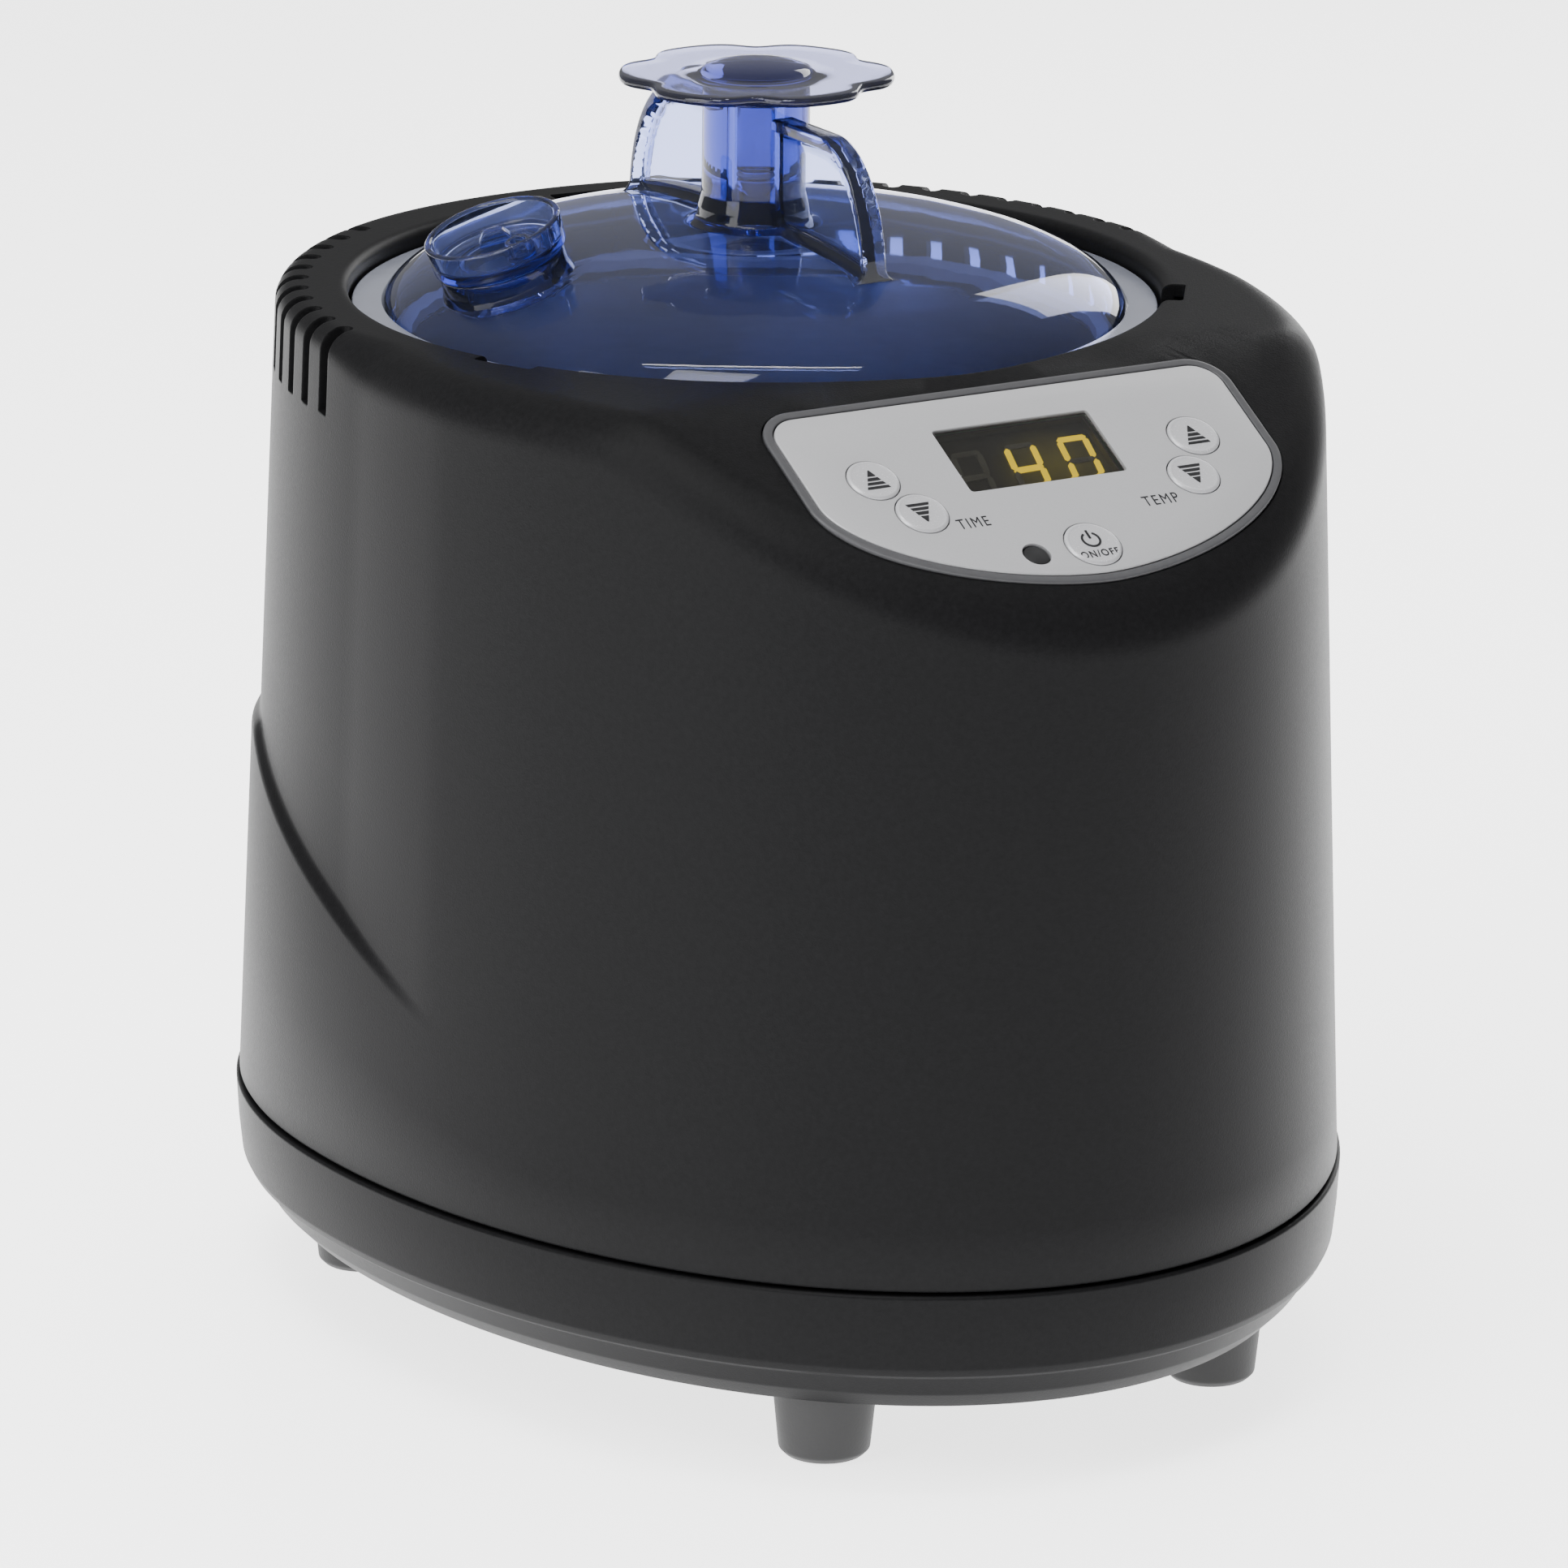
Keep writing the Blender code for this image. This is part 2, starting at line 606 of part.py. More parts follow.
def dome_z(radius, shrink=0.0):
    """Height of the dome's outer face at a radius, or of its inner face with shrink = DOME_WALL."""
    share = min(radius / (DOME_R - shrink), 1.0)
    rise = DOME_RISE - shrink * 0.95
    return DOME_RIM_Z - shrink * 0.1 + rise * max(1 - share ** DOME_POWER, 0.0) ** (1 / DOME_ROOT)


def wing_outline():
    """One handle wing in its own plane, as (distance from the axis, z): web and outer arc."""
    arc = []
    for k in range(9):
        a = math.pi / 2 * k / 8
        arc.append((0.030 + (WING_REACH - 0.030) * math.sin(a), 0.2310 + (WING_TOP - 0.2310) * math.cos(a)))
    foot = [(r, dome_z(r) - 0.0012) for r in (0.0500, 0.0400, 0.0300, 0.0200, 0.0105)]
    web = [(0.0105, WING_TOP)] + arc + foot
    inner = []
    for k in range(9):
        a = math.pi / 2 * k / 8
        inner.append((0.030 + (WING_REACH - 0.0328) * math.sin(a), 0.2310 + (WING_TOP - 0.2338) * math.cos(a)))
    rim = [(0.0105, WING_TOP)] + arc + [(0.0500, 0.2297), (0.0472, 0.2297)] + inner[::-1]
    rim.append((0.0105, WING_TOP - 0.0028))
    return web, rim


def build_lid(mat, axis, port):
    profile = [(DOME_R - 0.0025, LID_BOTTOM), (DOME_R + 0.0003, LID_BOTTOM), (DOME_R + 0.0003, DOME_RIM_Z)]
    for degrees in (82, 72, 60, 46, 30, 18):
        radius = DOME_R * math.sin(math.radians(degrees))
        profile.append((radius, dome_z(radius)))
    profile += [(0.0150, 0.2340), (0.0127, 0.2350), (0.0124, 0.2375), (0.0116, 0.2405), (STEM_R, STEM_TOP),
                (BORE_R, STEM_TOP), (BORE_R, dome_z(BORE_R, DOME_WALL))]
    for degrees in (25, 42, 58, 72, 83):
        radius = (DOME_R - DOME_WALL) * math.sin(math.radians(degrees))
        profile.append((radius, dome_z(radius, DOME_WALL)))
    lid = add("lid_dome", turned(profile, 36, closed=True), mat, axis)

    web, rim = wing_outline()
    upright = Matrix.Rotation(math.pi / 2, 4, "X")
    for side in (90.0, -90.0):
        plate = moved(moved(prism(web, -0.0011, 0.0011), upright), spin_z(side))
        combine(lid, add("web", plate, parent=axis), "UNION")
        band = moved(moved(prism(rim, -0.0029, 0.0029), upright), spin_z(side))
        combine(lid, add("band", band, parent=axis), "UNION")
    to_axis = axis.matrix_world.inverted() @ port.matrix_world
    neck = moved(cylinder(0.0136, -0.0022, 0.0049, 24), to_axis)
    combine(lid, add("neck", neck, parent=axis), "UNION")
    for degrees in NOTCH_ANGLES:
        lug = moved(box((0.0798, -0.0063, 0.2086), (0.0904, 0.0063, 0.2114)), spin_z(degrees))
        combine(lid, add("lug", lug, parent=axis), "UNION")
    collar = turned([(COLLAR_INNER_R, COLLAR_LOW), (COLLAR_R, COLLAR_LOW), (COLLAR_R, COLLAR_TOP),
                     (COLLAR_INNER_R, COLLAR_TOP)], 36, closed=True)
    combine(lid, add("collar", collar, parent=axis), "UNION")
    bore = moved(cylinder(0.0095, -0.012, 0.012, 20), to_axis)
    combine(lid, add("bore", bore, parent=axis), "DIFFERENCE")


def build_lid_seal(mat, axis):
    profile = [(0.0733, LID_BOTTOM), (0.0776, LID_BOTTOM), (0.0776, 0.2100), (0.0758, 0.2110), (0.0733, 0.2100)]
    add("lid_seal", turned(profile, 36, closed=True), mat, axis)


def knob_radius(angle):
    """Six broad lobes with short rounded notches between them. A lobe points forwards."""
    valley = (0.5 + 0.5 * math.cos(6 * angle)) ** 3
    return KNOB_R - 0.0026 * valley


def build_knob(mat, rubber, axis):
    rings = []
    for inset, z in ((0.0011, KNOB_UNDER), (0.0, KNOB_UNDER + 0.0006), (0.0, KNOB_UNDER + KNOB_THICK - 0.0006),
                     (0.0011, KNOB_UNDER + KNOB_THICK)):
        ring = []
        for k in range(60):
            a = 2 * math.pi * k / 60
            radius = knob_radius(a) - inset
            ring.append((radius * math.cos(a), radius * math.sin(a), z))
        rings.append(ring)
    bm = bmesh.new()
    skin_rings(bm, rings, False)
    knob = add("star_knob", bm, mat, axis)
    top = KNOB_UNDER + KNOB_THICK
    hub = [(0, STEM_TOP + GAP), (STEM_R, STEM_TOP + GAP), (STEM_R, top)]
    for k in range(1, 4):
        a = math.pi / 2 * k / 4
        hub.append((STEM_R * math.cos(a), top + BUTTON_DOME * math.sin(a)))
    hub.append((0, top + BUTTON_DOME))
    combine(knob, add("hub", turned(hub, 28), parent=axis), "UNION")

    spindle = [(0, 0.2400), (0.0028, 0.2400), (0.0041, 0.2420), (0.0041, 0.2436), (0.0029, 0.2438),
               (0.0029, 0.2454), (0.0041, 0.2456), (0.0041, STEM_TOP), (0, STEM_TOP)]
    add("valve_spindle", turned(spindle, 16), mat, axis)
    add("spindle_oring", ring_bmesh(0.0037, 0.00055, 0.2446, 14, 5), rubber, axis)


def ring_bmesh(radius, thick, z, segments, sides):
    """A round ring, such as an O-ring."""
    profile = []
    for k in range(sides):
        a = 2 * math.pi * k / sides
        profile.append((radius + thick * math.cos(a), z + thick * math.sin(a)))
    return turned(profile, segments, closed=True)


def build_cap(mat, rubber, port):
    profile = [(0, 0.0012), (0.0085, 0.0012), (0.0091, 0.0018), (0.0091, 0.0024), (0.0078, 0.0025),
               (0.0078, 0.0040), (0.0091, 0.0041), (0.0091, 0.0052), (0.0140, 0.0052), (0.0145, 0.0058),
               (0.0148, 0.0119), (0.0144, 0.0123), (0.0137, 0.0123), (0.0133, 0.0118), (0.0130, 0.0068),
               (0, 0.0068)]
    cap = add("fill_cap", turned(profile, 24), mat, port)
    fin = [(-0.0036, 0.0060), (0.0036, 0.0060), (0.0034, 0.0100), (0.0018, 0.0117), (-0.0018, 0.0117),
           (-0.0034, 0.0100)]
    grip = moved(prism(fin, -0.0012, 0.0012), spin_z(-30) @ Matrix.Rotation(math.pi / 2, 4, "X"))
    spout = cylinder(0.0029, 0.0060, 0.0108, 14, (0.0010, -0.0088))
    combine(cap, add("fittings", merge([grip, spout]), parent=port), "UNION")
    combine(cap, add("spout_bore", cylinder(0.0016, 0.0074, 0.0120, 10, (0.0010, -0.0088)), parent=port),
            "DIFFERENCE")
    add("cap_oring", ring_bmesh(0.0086, 0.00055, 0.00325, 20, 5), rubber, port)


def build_panel(mats, panel):
    inner = FACE_OUT + GAP
    bezel = panel_frame_bmesh(((BEZEL_OUT, -0.0012), (BEZEL_OUT, 0.0001), (BEZEL_OUT - 0.0004, 0.0004),
                               (inner, 0.0004), (inner, -0.0010), (-0.0005, -0.0010), (-0.0005, -0.0095),
                               (0.0013, -0.0095),
                               (0.0013, -0.0012)))
    add("panel_bezel", bezel, mats["bezel"], panel)

    face = add("panel_face", prism(panel_outline(FACE_OUT), -0.0007, 0.0005), mats["panel"], panel)
    holes = [box((-WINDOW_HALF, WINDOW_BOTTOM, -0.004), (WINDOW_HALF, WINDOW_TOP, 0.004))]
    for name, at in BUTTONS.items():
        radius = BUTTON_R + (0.0005 if name == "power" else 0.0)
        holes.append(cylinder(radius + 0.00025, -0.004, 0.004, 14, at))
    holes.append(cylinder(IR_R + GAP, -0.004, 0.004, 16, IR_AT))
    combine(face, add("face_holes", merge(holes), parent=panel), "DIFFERENCE")

    lens = box((-WINDOW_HALF + GAP, WINDOW_BOTTOM + GAP, -0.0009), (WINDOW_HALF - GAP, WINDOW_TOP - GAP, 0.0003))
    add("display_window", lens, mats["smoked"], panel)
    module = box((-0.0182, -0.0194, BOARD_TOP + GAP), (0.0182, -0.0014, -0.0015))
    add("display_module", module, mats["black"], panel)
    add("ir_window", turned([(0, -0.0009), (IR_R, -0.0009), (IR_R, 0.0001), (0, 0.0003)], 16), mats["smoked"], panel,
        (*IR_AT, 0))
    receiver = box((-0.0025, -0.0025, BOARD_TOP + GAP), (0.0025, 0.0025, -0.0030))
    add("ir_receiver", receiver, mats["black"], panel, (*IR_AT, 0))
    board = prism(panel_outline(-0.0030), BOARD_TOP - BOARD_THICK, BOARD_TOP)
    add("control_board", board, mats["board"], panel)

    for name, at in BUTTONS.items():
        radius = BUTTON_R + (0.0005 if name == "power" else 0.0)
        profile = [(0, -0.0036), (0.0016, -0.0036), (0.0016, -0.0017), (radius + 0.00055, -0.0017),
                   (radius + 0.00055, -0.0010), (radius, -0.0010), (radius, 0.0006), (radius - 0.0004, 0.0009),
                   (0, 0.0009)]
        add("button_" + name, turned(profile, 14), mats["panel"], panel, (*at, 0))
        body = add("switch_" + name, box((-0.003, -0.003, BOARD_TOP + GAP), (0.003, 0.003, -0.0052)),
                   mats["black"], panel, (*at, 0))
        plunger = add("plunger", cylinder(0.0017, -0.0060, -0.0044, 8), parent=panel, location=(*at, 0))
        combine(body, plunger, "UNION")


def build_inlet(mat):
    front = 0.1338
    inlet = add("mains_inlet", box((-0.0150, 0.1318, INLET_Z - 0.0120), (0.0150, front, INLET_Z + 0.0120)), mat)
    body = box((-0.0135, 0.1120, INLET_Z - 0.0098), (0.0135, 0.1325, INLET_Z + 0.0098))
    combine(inlet, add("inlet_body", body), "UNION")
    cavity = box((-0.0120, 0.1155, INLET_Z - 0.0080), (0.0120, 0.1400, INLET_Z + 0.0080))
    combine(inlet, add("cavity", cavity), "DIFFERENCE")
    for x, z in ((-0.0070, -0.0020), (0.0070, -0.0020), (0.0, 0.0020)):
        pin = box((x - 0.0010, 0.1145, INLET_Z + z - 0.0020), (x + 0.0010, 0.1290, INLET_Z + z + 0.0020))
        combine(inlet, add("pin", pin), "UNION")


def build_electronics(mats, axis):
    add("power_board", box((-0.0420, -0.1040, BOARD_Z), (0.0420, -0.0560, BOARD_Z + 0.0016)), mats["board"])
    core = box((-0.0390, -0.0960, BOARD_Z + 0.0019), (-0.0060, -0.0680, BOARD_Z + 0.0260))
    add("transformer", core, mats["steel"])
    add("relay", box((0.0100, -0.1010, BOARD_Z + 0.0019), (0.0290, -0.0855, BOARD_Z + 0.0175)), mats["relay"])
    fuse = moved(cylinder(0.0030, -0.0100, 0.0100, 12), Matrix.Translation((0.018, -0.066, BOARD_Z + 0.0052))
                 @ Matrix.Rotation(math.pi / 2, 4, "Y"))
    add("fuse", fuse, mats["fuse"])

    wire = 0.0011
    for side, name in ((-1, "neutral"), (1, "live")):
        x = side * 0.0070
        route = smooth_route([(x, 0.1110, 0.0660), (x, 0.1086, 0.0645), (x * 1.5, 0.1083, 0.0500),
                              (x * 2, 0.1040, 0.0380),
                              (side * 0.025, 0.0500, 0.0320), (side * 0.024, -0.0300, 0.0290),
                              (side * 0.020, -0.0520, 0.0264)])
        tube("mains_wire_" + name, route, wire, mats["wire_" + name], sides=1)
    for side, colour in ((-1, "neutral"), (1, "live")):
        y = POT_Y + side * HEATER_TERMINAL[1]
        route = smooth_route([(HEATER_TERMINAL[0], y, 0.0385), (0.0450 + side * 0.0030, y - 0.0060, 0.0345),
                              (0.0480 + side * 0.0030, -0.0150, 0.0325), (0.0400 + side * 0.0030, -0.0480, 0.0290),
                              (0.0345 + side * 0.0030, -0.0640, 0.0290), (0.0345 + side * 0.0030, -0.0720, 0.0260)])
        tube("heater_wire_" + colour, route, wire, mats["wire_" + colour], sides=1)

    strip = smooth_route([(0.0, -0.0985, 0.1895), (0.0, -0.0930, 0.1780), (0.0, -0.0960, 0.1400),
                          (0.0, -0.1000, 0.0900), (0.0, -0.1020, 0.0500), (0.0020, -0.1010, 0.0248)], 4)
    bm = bmesh.new()
    rings = []
    for before, here, after in zip([strip[0]] + strip[:-1], strip, strip[1:] + [strip[-1]]):
        along = (after - before).normalized()
        across = Vector((0, along.z, -along.y)).normalized() * 0.0005
        rings.append([tuple(here + Vector((x, 0, 0)) + across * side) for x, side in
                      ((-0.005, -1), (0.005, -1), (0.005, 1), (-0.005, 1))])
    skin_rings(bm, rings, False)
    add("ribbon_cable", bm, mats["ribbon"])


# ---------------------------------------------------------------- assembly
def main():
    clear_scene()
    mats = {
        "casing": material("casing_plastic", (0.045, 0.045, 0.048), 0.62),
        "tray": material("tray_plastic", (0.038, 0.038, 0.041), 0.60),
        "rubber": material("rubber", (0.020, 0.020, 0.021), 0.75),
        "silicone": material("silicone", (0.72, 0.72, 0.70), 0.55),
        "steel": material("steel", (0.62, 0.62, 0.63), 0.30, 1.0),
        "pot": material("pot_steel", (0.72, 0.72, 0.74), 0.22, 1.0),
        "cast": material("cast_aluminium", (0.60, 0.60, 0.61), 0.45, 1.0),
        "element": material("element_sheath", (0.30, 0.29, 0.28), 0.50, 1.0),
        "lid": material("lid_plastic", (0.08, 0.13, 0.55), 0.06, 0.0, 0.5),
        "bezel": material("bezel_plastic", (0.13, 0.13, 0.135), 0.5),
        "panel": material("panel_film", (0.62, 0.62, 0.64), 0.35, 0.4),
        "smoked": material("smoked_lens", (0.02, 0.02, 0.022), 0.08, 0.0, 0.6),
        "black": material("black_plastic", (0.02, 0.02, 0.02), 0.4),
        "board": material("circuit_board", (0.05, 0.22, 0.09), 0.45),
        "relay": material("relay_blue", (0.06, 0.15, 0.42), 0.35),
        "fuse": material("fuse_ceramic", (0.82, 0.80, 0.74), 0.4),
        "wire_live": material("wire_brown", (0.20, 0.08, 0.03), 0.45),
        "wire_neutral": material("wire_blue", (0.05, 0.12, 0.45), 0.45),
        "ribbon": material("ribbon_grey", (0.45, 0.45, 0.47), 0.5),
    }
    axis = empty("pot_axis", (0, POT_Y, 0))
    panel = empty("panel_frame", (0, FACET_Y, FACET_Z), (FACET_TILT, 0, 0))
    port = empty("fill_port", (-PORT_RADIUS, POT_Y, PORT_Z), (0, -PORT_TILT, 0))
    bpy.context.view_layer.update()

    build_casing(mats["casing"], panel)
    build_tray(mats["tray"])
    build_feet(mats["rubber"], mats["steel"])
    build_pot(mats["pot"], axis)
    build_well(mats["steel"], mats["steel"], axis)
    build_heater(mats["cast"], mats["element"], mats["steel"], axis)
    build_lid(mats["lid"], axis, port)
    build_lid_seal(mats["silicone"], axis)
    build_knob(mats["lid"], mats["silicone"], axis)
    build_cap(mats["lid"], mats["silicone"], port)
    build_panel(mats, panel)
    build_inlet(mats["black"])
    build_electronics(mats, axis)


main()
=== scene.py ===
import json
import math

import bmesh
import bpy
import numpy as np
from mathutils import Matrix, Vector


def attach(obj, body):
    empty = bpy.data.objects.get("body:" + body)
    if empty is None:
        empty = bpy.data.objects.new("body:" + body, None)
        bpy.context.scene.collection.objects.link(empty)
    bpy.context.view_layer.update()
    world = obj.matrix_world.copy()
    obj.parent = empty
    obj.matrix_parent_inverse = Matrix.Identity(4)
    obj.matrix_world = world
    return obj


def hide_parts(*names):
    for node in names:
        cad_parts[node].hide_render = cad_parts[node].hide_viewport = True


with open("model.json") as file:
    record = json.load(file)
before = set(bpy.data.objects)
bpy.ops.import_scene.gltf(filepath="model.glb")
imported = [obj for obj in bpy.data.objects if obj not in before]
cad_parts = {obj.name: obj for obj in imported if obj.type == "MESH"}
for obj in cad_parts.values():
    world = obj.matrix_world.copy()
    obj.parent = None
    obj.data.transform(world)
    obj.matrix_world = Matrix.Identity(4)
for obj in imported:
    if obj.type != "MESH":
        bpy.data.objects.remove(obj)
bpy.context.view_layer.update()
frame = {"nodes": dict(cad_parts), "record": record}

# ---------------------------------------------------------------- dimensions, as in the CAD (metres)
HALF_WIDTH, OUTLINE_Y, FRONT_DEPTH, REAR_DEPTH, REAR_POWER = 0.1118, 0.0165, 0.1527, 0.1197, 2.13
SEAM_Z, SEAM_STEP, DRAFT, TOP_Z, WALL = 0.0438, 0.0008, 0.040, 0.2207, 0.0028
LEDGE_STEP, LEDGE_SLOPE, LEDGE_Y, LEDGE_Z, LEDGE_LOW, LEDGE_HIGH, LEDGE_SOFT = (
    0.0018, 0.42, -0.024, 0.084, 0.070, 0.124, 0.0040)
EDGE_ROUND, REAR_ROUND, FACET_ROUND, CREASE_BLEND = 0.0095, 0.0050, 0.0090, 0.0016
FACET_TILT, FACET_Y, FACET_Z = math.radians(29.4), -0.0789, 0.2132
POT_Y, MOUTH_R, SKIRT_R, SKIRT_Z, LIP = 0.0235, 0.0870, 0.0898, 0.2125, 0.0022
NOTCH_ANGLES, NOTCH_WIDTH, NOTCH_R = (-35.0, -155.0, 85.0), 0.0145, 0.0919
VENTS_PER_SIDE, VENT_FIRST, VENT_PITCH, VENT_WIDTH, VENT_Z, VENT_INNER_R = 11, 2.3, 5.6, 0.0040, 0.2011, 0.0954
PANEL_HALF, PANEL_TOP, PANEL_SIDE_END, PANEL_BOTTOM, PANEL_POWER, PANEL_CORNER = (
    0.0534, 0.0073, -0.0180, -0.0465, 1.75, 0.0060)
FACE_OUT, BEZEL_OUT, ROUND_START, ROUND_BLEND = 0.0004, 0.0027, 0.008, 0.020
WINDOW_HALF, WINDOW_TOP, WINDOW_BOTTOM = 0.0188, -0.0011, -0.0197
BUTTON_R = 0.0056
BUTTONS = {"time_up": (-0.0385, -0.0127), "time_down": (-0.0326, -0.0237), "temp_up": (0.0385, -0.0127),
           "temp_down": (0.0326, -0.0237), "power": (0.0, -0.0389)}
IR_AT, IR_R = (-0.0136, -0.0393), 0.0028
DIGIT_PITCH, DIGIT_TOP, DIGIT_TALL, DIGIT_WIDE, DIGIT_DEEP = 0.0126, -0.0052, 0.0138, 0.0074, -0.0036
DOME_R, DOME_RIM_Z, DOME_RISE, DOME_POWER, DOME_ROOT, DOME_WALL = 0.0815, 0.2093, 0.0248, 2.43, 2.61, 0.0026
LID_BOTTOM, STEM_R, STEM_TOP, BORE_R, WING_TOP, WING_REACH = 0.2079, 0.0115, 0.2615, 0.0046, 0.2585, 0.0500
KNOB_R, KNOB_UNDER, KNOB_THICK, BUTTON_DOME = 0.0294, 0.2645, 0.0020, 0.0026
PORT_RADIUS, PORT_Z, PORT_TILT = 0.0604, 0.2280, math.radians(18.4)
# Lid collar faces beyond COLLAR_PAINTED_SHEEN_R take the pale flange finish, a painted sheen
COLLAR_INNER_R, COLLAR_PAINTED_SHEEN_R, COLLAR_R, COLLAR_LOW, COLLAR_TOP = 0.0795, 0.0818, 0.0862, 0.2156, 0.2168
TRAY_BOTTOM, INLET_Z, GAP, FLANGE_LOW = 0.0158, 0.0700, 0.0003, 0.2058
FEET = {"front_left": (-0.0477, -0.0903), "front_right": (0.0477, -0.0903),
        "rear_left": (-0.0755, 0.0620), "rear_right": (0.0755, 0.0620)}
POSTS = ((-129.3, 0.1105), (-50.7, 0.1105), (130.0, 0.0933), (50.0, 0.0933))

PANEL = Matrix.Translation((0, FACET_Y, FACET_Z)) @ Matrix.Rotation(FACET_TILT, 4, "X")
AXIS = Matrix.Translation((0, POT_Y, 0))
PORT = Matrix.Translation((-PORT_RADIUS, POT_Y, PORT_Z)) @ Matrix.Rotation(-PORT_TILT, 4, "Y")


# ---------------------------------------------------------------- materials
def finish(name, colour, rough, metal=0.0, grain=(900.0, 0.15, 0.0002), mottle=0.08, mottle_scale=60.0,
           rough_spread=0.05, clear=0.0, ior=1.46, coat=0.0, edge=0.0, stretch=(1, 1, 1), glow=None, spec=0.5):
    """A procedural finish: mottled colour, uneven roughness and a fine bump, over an optional soft edge."""
    mat = bpy.data.materials.new(name)
    mat.use_nodes = True
    tree = mat.node_tree
    shader = tree.nodes["Principled BSDF"]
    where = tree.nodes.new("ShaderNodeTexCoord")
    scaled = tree.nodes.new("ShaderNodeMapping")
    scaled.inputs["Scale"].default_value = stretch
    tree.links.new(where.outputs["Object"], scaled.inputs["Vector"])

    broad = tree.nodes.new("ShaderNodeTexNoise")
    broad.inputs["Scale"].default_value = mottle_scale
    broad.inputs["Detail"].default_value = 6.0
    broad.inputs["Roughness"].default_value = 0.65
    tree.links.new(scaled.outputs["Vector"], broad.inputs["Vector"])
    ramp = tree.nodes.new("ShaderNodeValToRGB")
    dark = [max(c * (1 - mottle), 0.0) for c in colour]
    light = [min(c * (1 + mottle), 1.0) for c in colour]
    ramp.color_ramp.elements[0].position = 0.3
    ramp.color_ramp.elements[0].color = (*dark, 1)
    ramp.color_ramp.elements[1].position = 0.7
    ramp.color_ramp.elements[1].color = (*light, 1)
    tree.links.new(broad.outputs["Fac"], ramp.inputs["Fac"])
    tree.links.new(ramp.outputs["Color"], shader.inputs["Base Color"])
    spread = tree.nodes.new("ShaderNodeMapRange")
    spread.inputs["To Min"].default_value = max(rough - rough_spread, 0.0)
    spread.inputs["To Max"].default_value = min(rough + rough_spread, 1.0)
    tree.links.new(broad.outputs["Fac"], spread.inputs["Value"])
    tree.links.new(spread.outputs["Result"], shader.inputs["Roughness"])

    scale, strength, depth = grain
    if strength > 0:
        fine = tree.nodes.new("ShaderNodeTexNoise")
        fine.inputs["Scale"].default_value = scale
        fine.inputs["Detail"].default_value = 3.0
        tree.links.new(scaled.outputs["Vector"], fine.inputs["Vector"])
        bump = tree.nodes.new("ShaderNodeBump")
        bump.inputs["Strength"].default_value = strength
        bump.inputs["Distance"].default_value = depth
        tree.links.new(fine.outputs["Fac"], bump.inputs["Height"])
        if edge > 0:
            soft = tree.nodes.new("ShaderNodeBevel")
            soft.samples = 4
            soft.inputs["Radius"].default_value = edge
            tree.links.new(soft.outputs["Normal"], bump.inputs["Normal"])
        tree.links.new(bump.outputs["Normal"], shader.inputs["Normal"])
    shader.inputs["Metallic"].default_value = metal
    shader.inputs["Transmission Weight"].default_value = clear
    shader.inputs["IOR"].default_value = ior
    shader.inputs["Specular IOR Level"].default_value = spec
    shader.inputs["Coat Weight"].default_value = coat
    shader.inputs["Coat Roughness"].default_value = 0.08
    if glow is not None:
        shader.inputs["Emission Color"].default_value = (*glow, 1)
        shader.inputs["Emission Strength"].default_value = 1.0
    return mat


def add_absorption(mat, colour, density):
    tree = mat.node_tree
    volume = tree.nodes.new("ShaderNodeVolumeAbsorption")
    volume.inputs["Color"].default_value = (*colour, 1)
    volume.inputs["Density"].default_value = density
    tree.links.new(volume.outputs["Volume"], tree.nodes["Material Output"].inputs["Volume"])


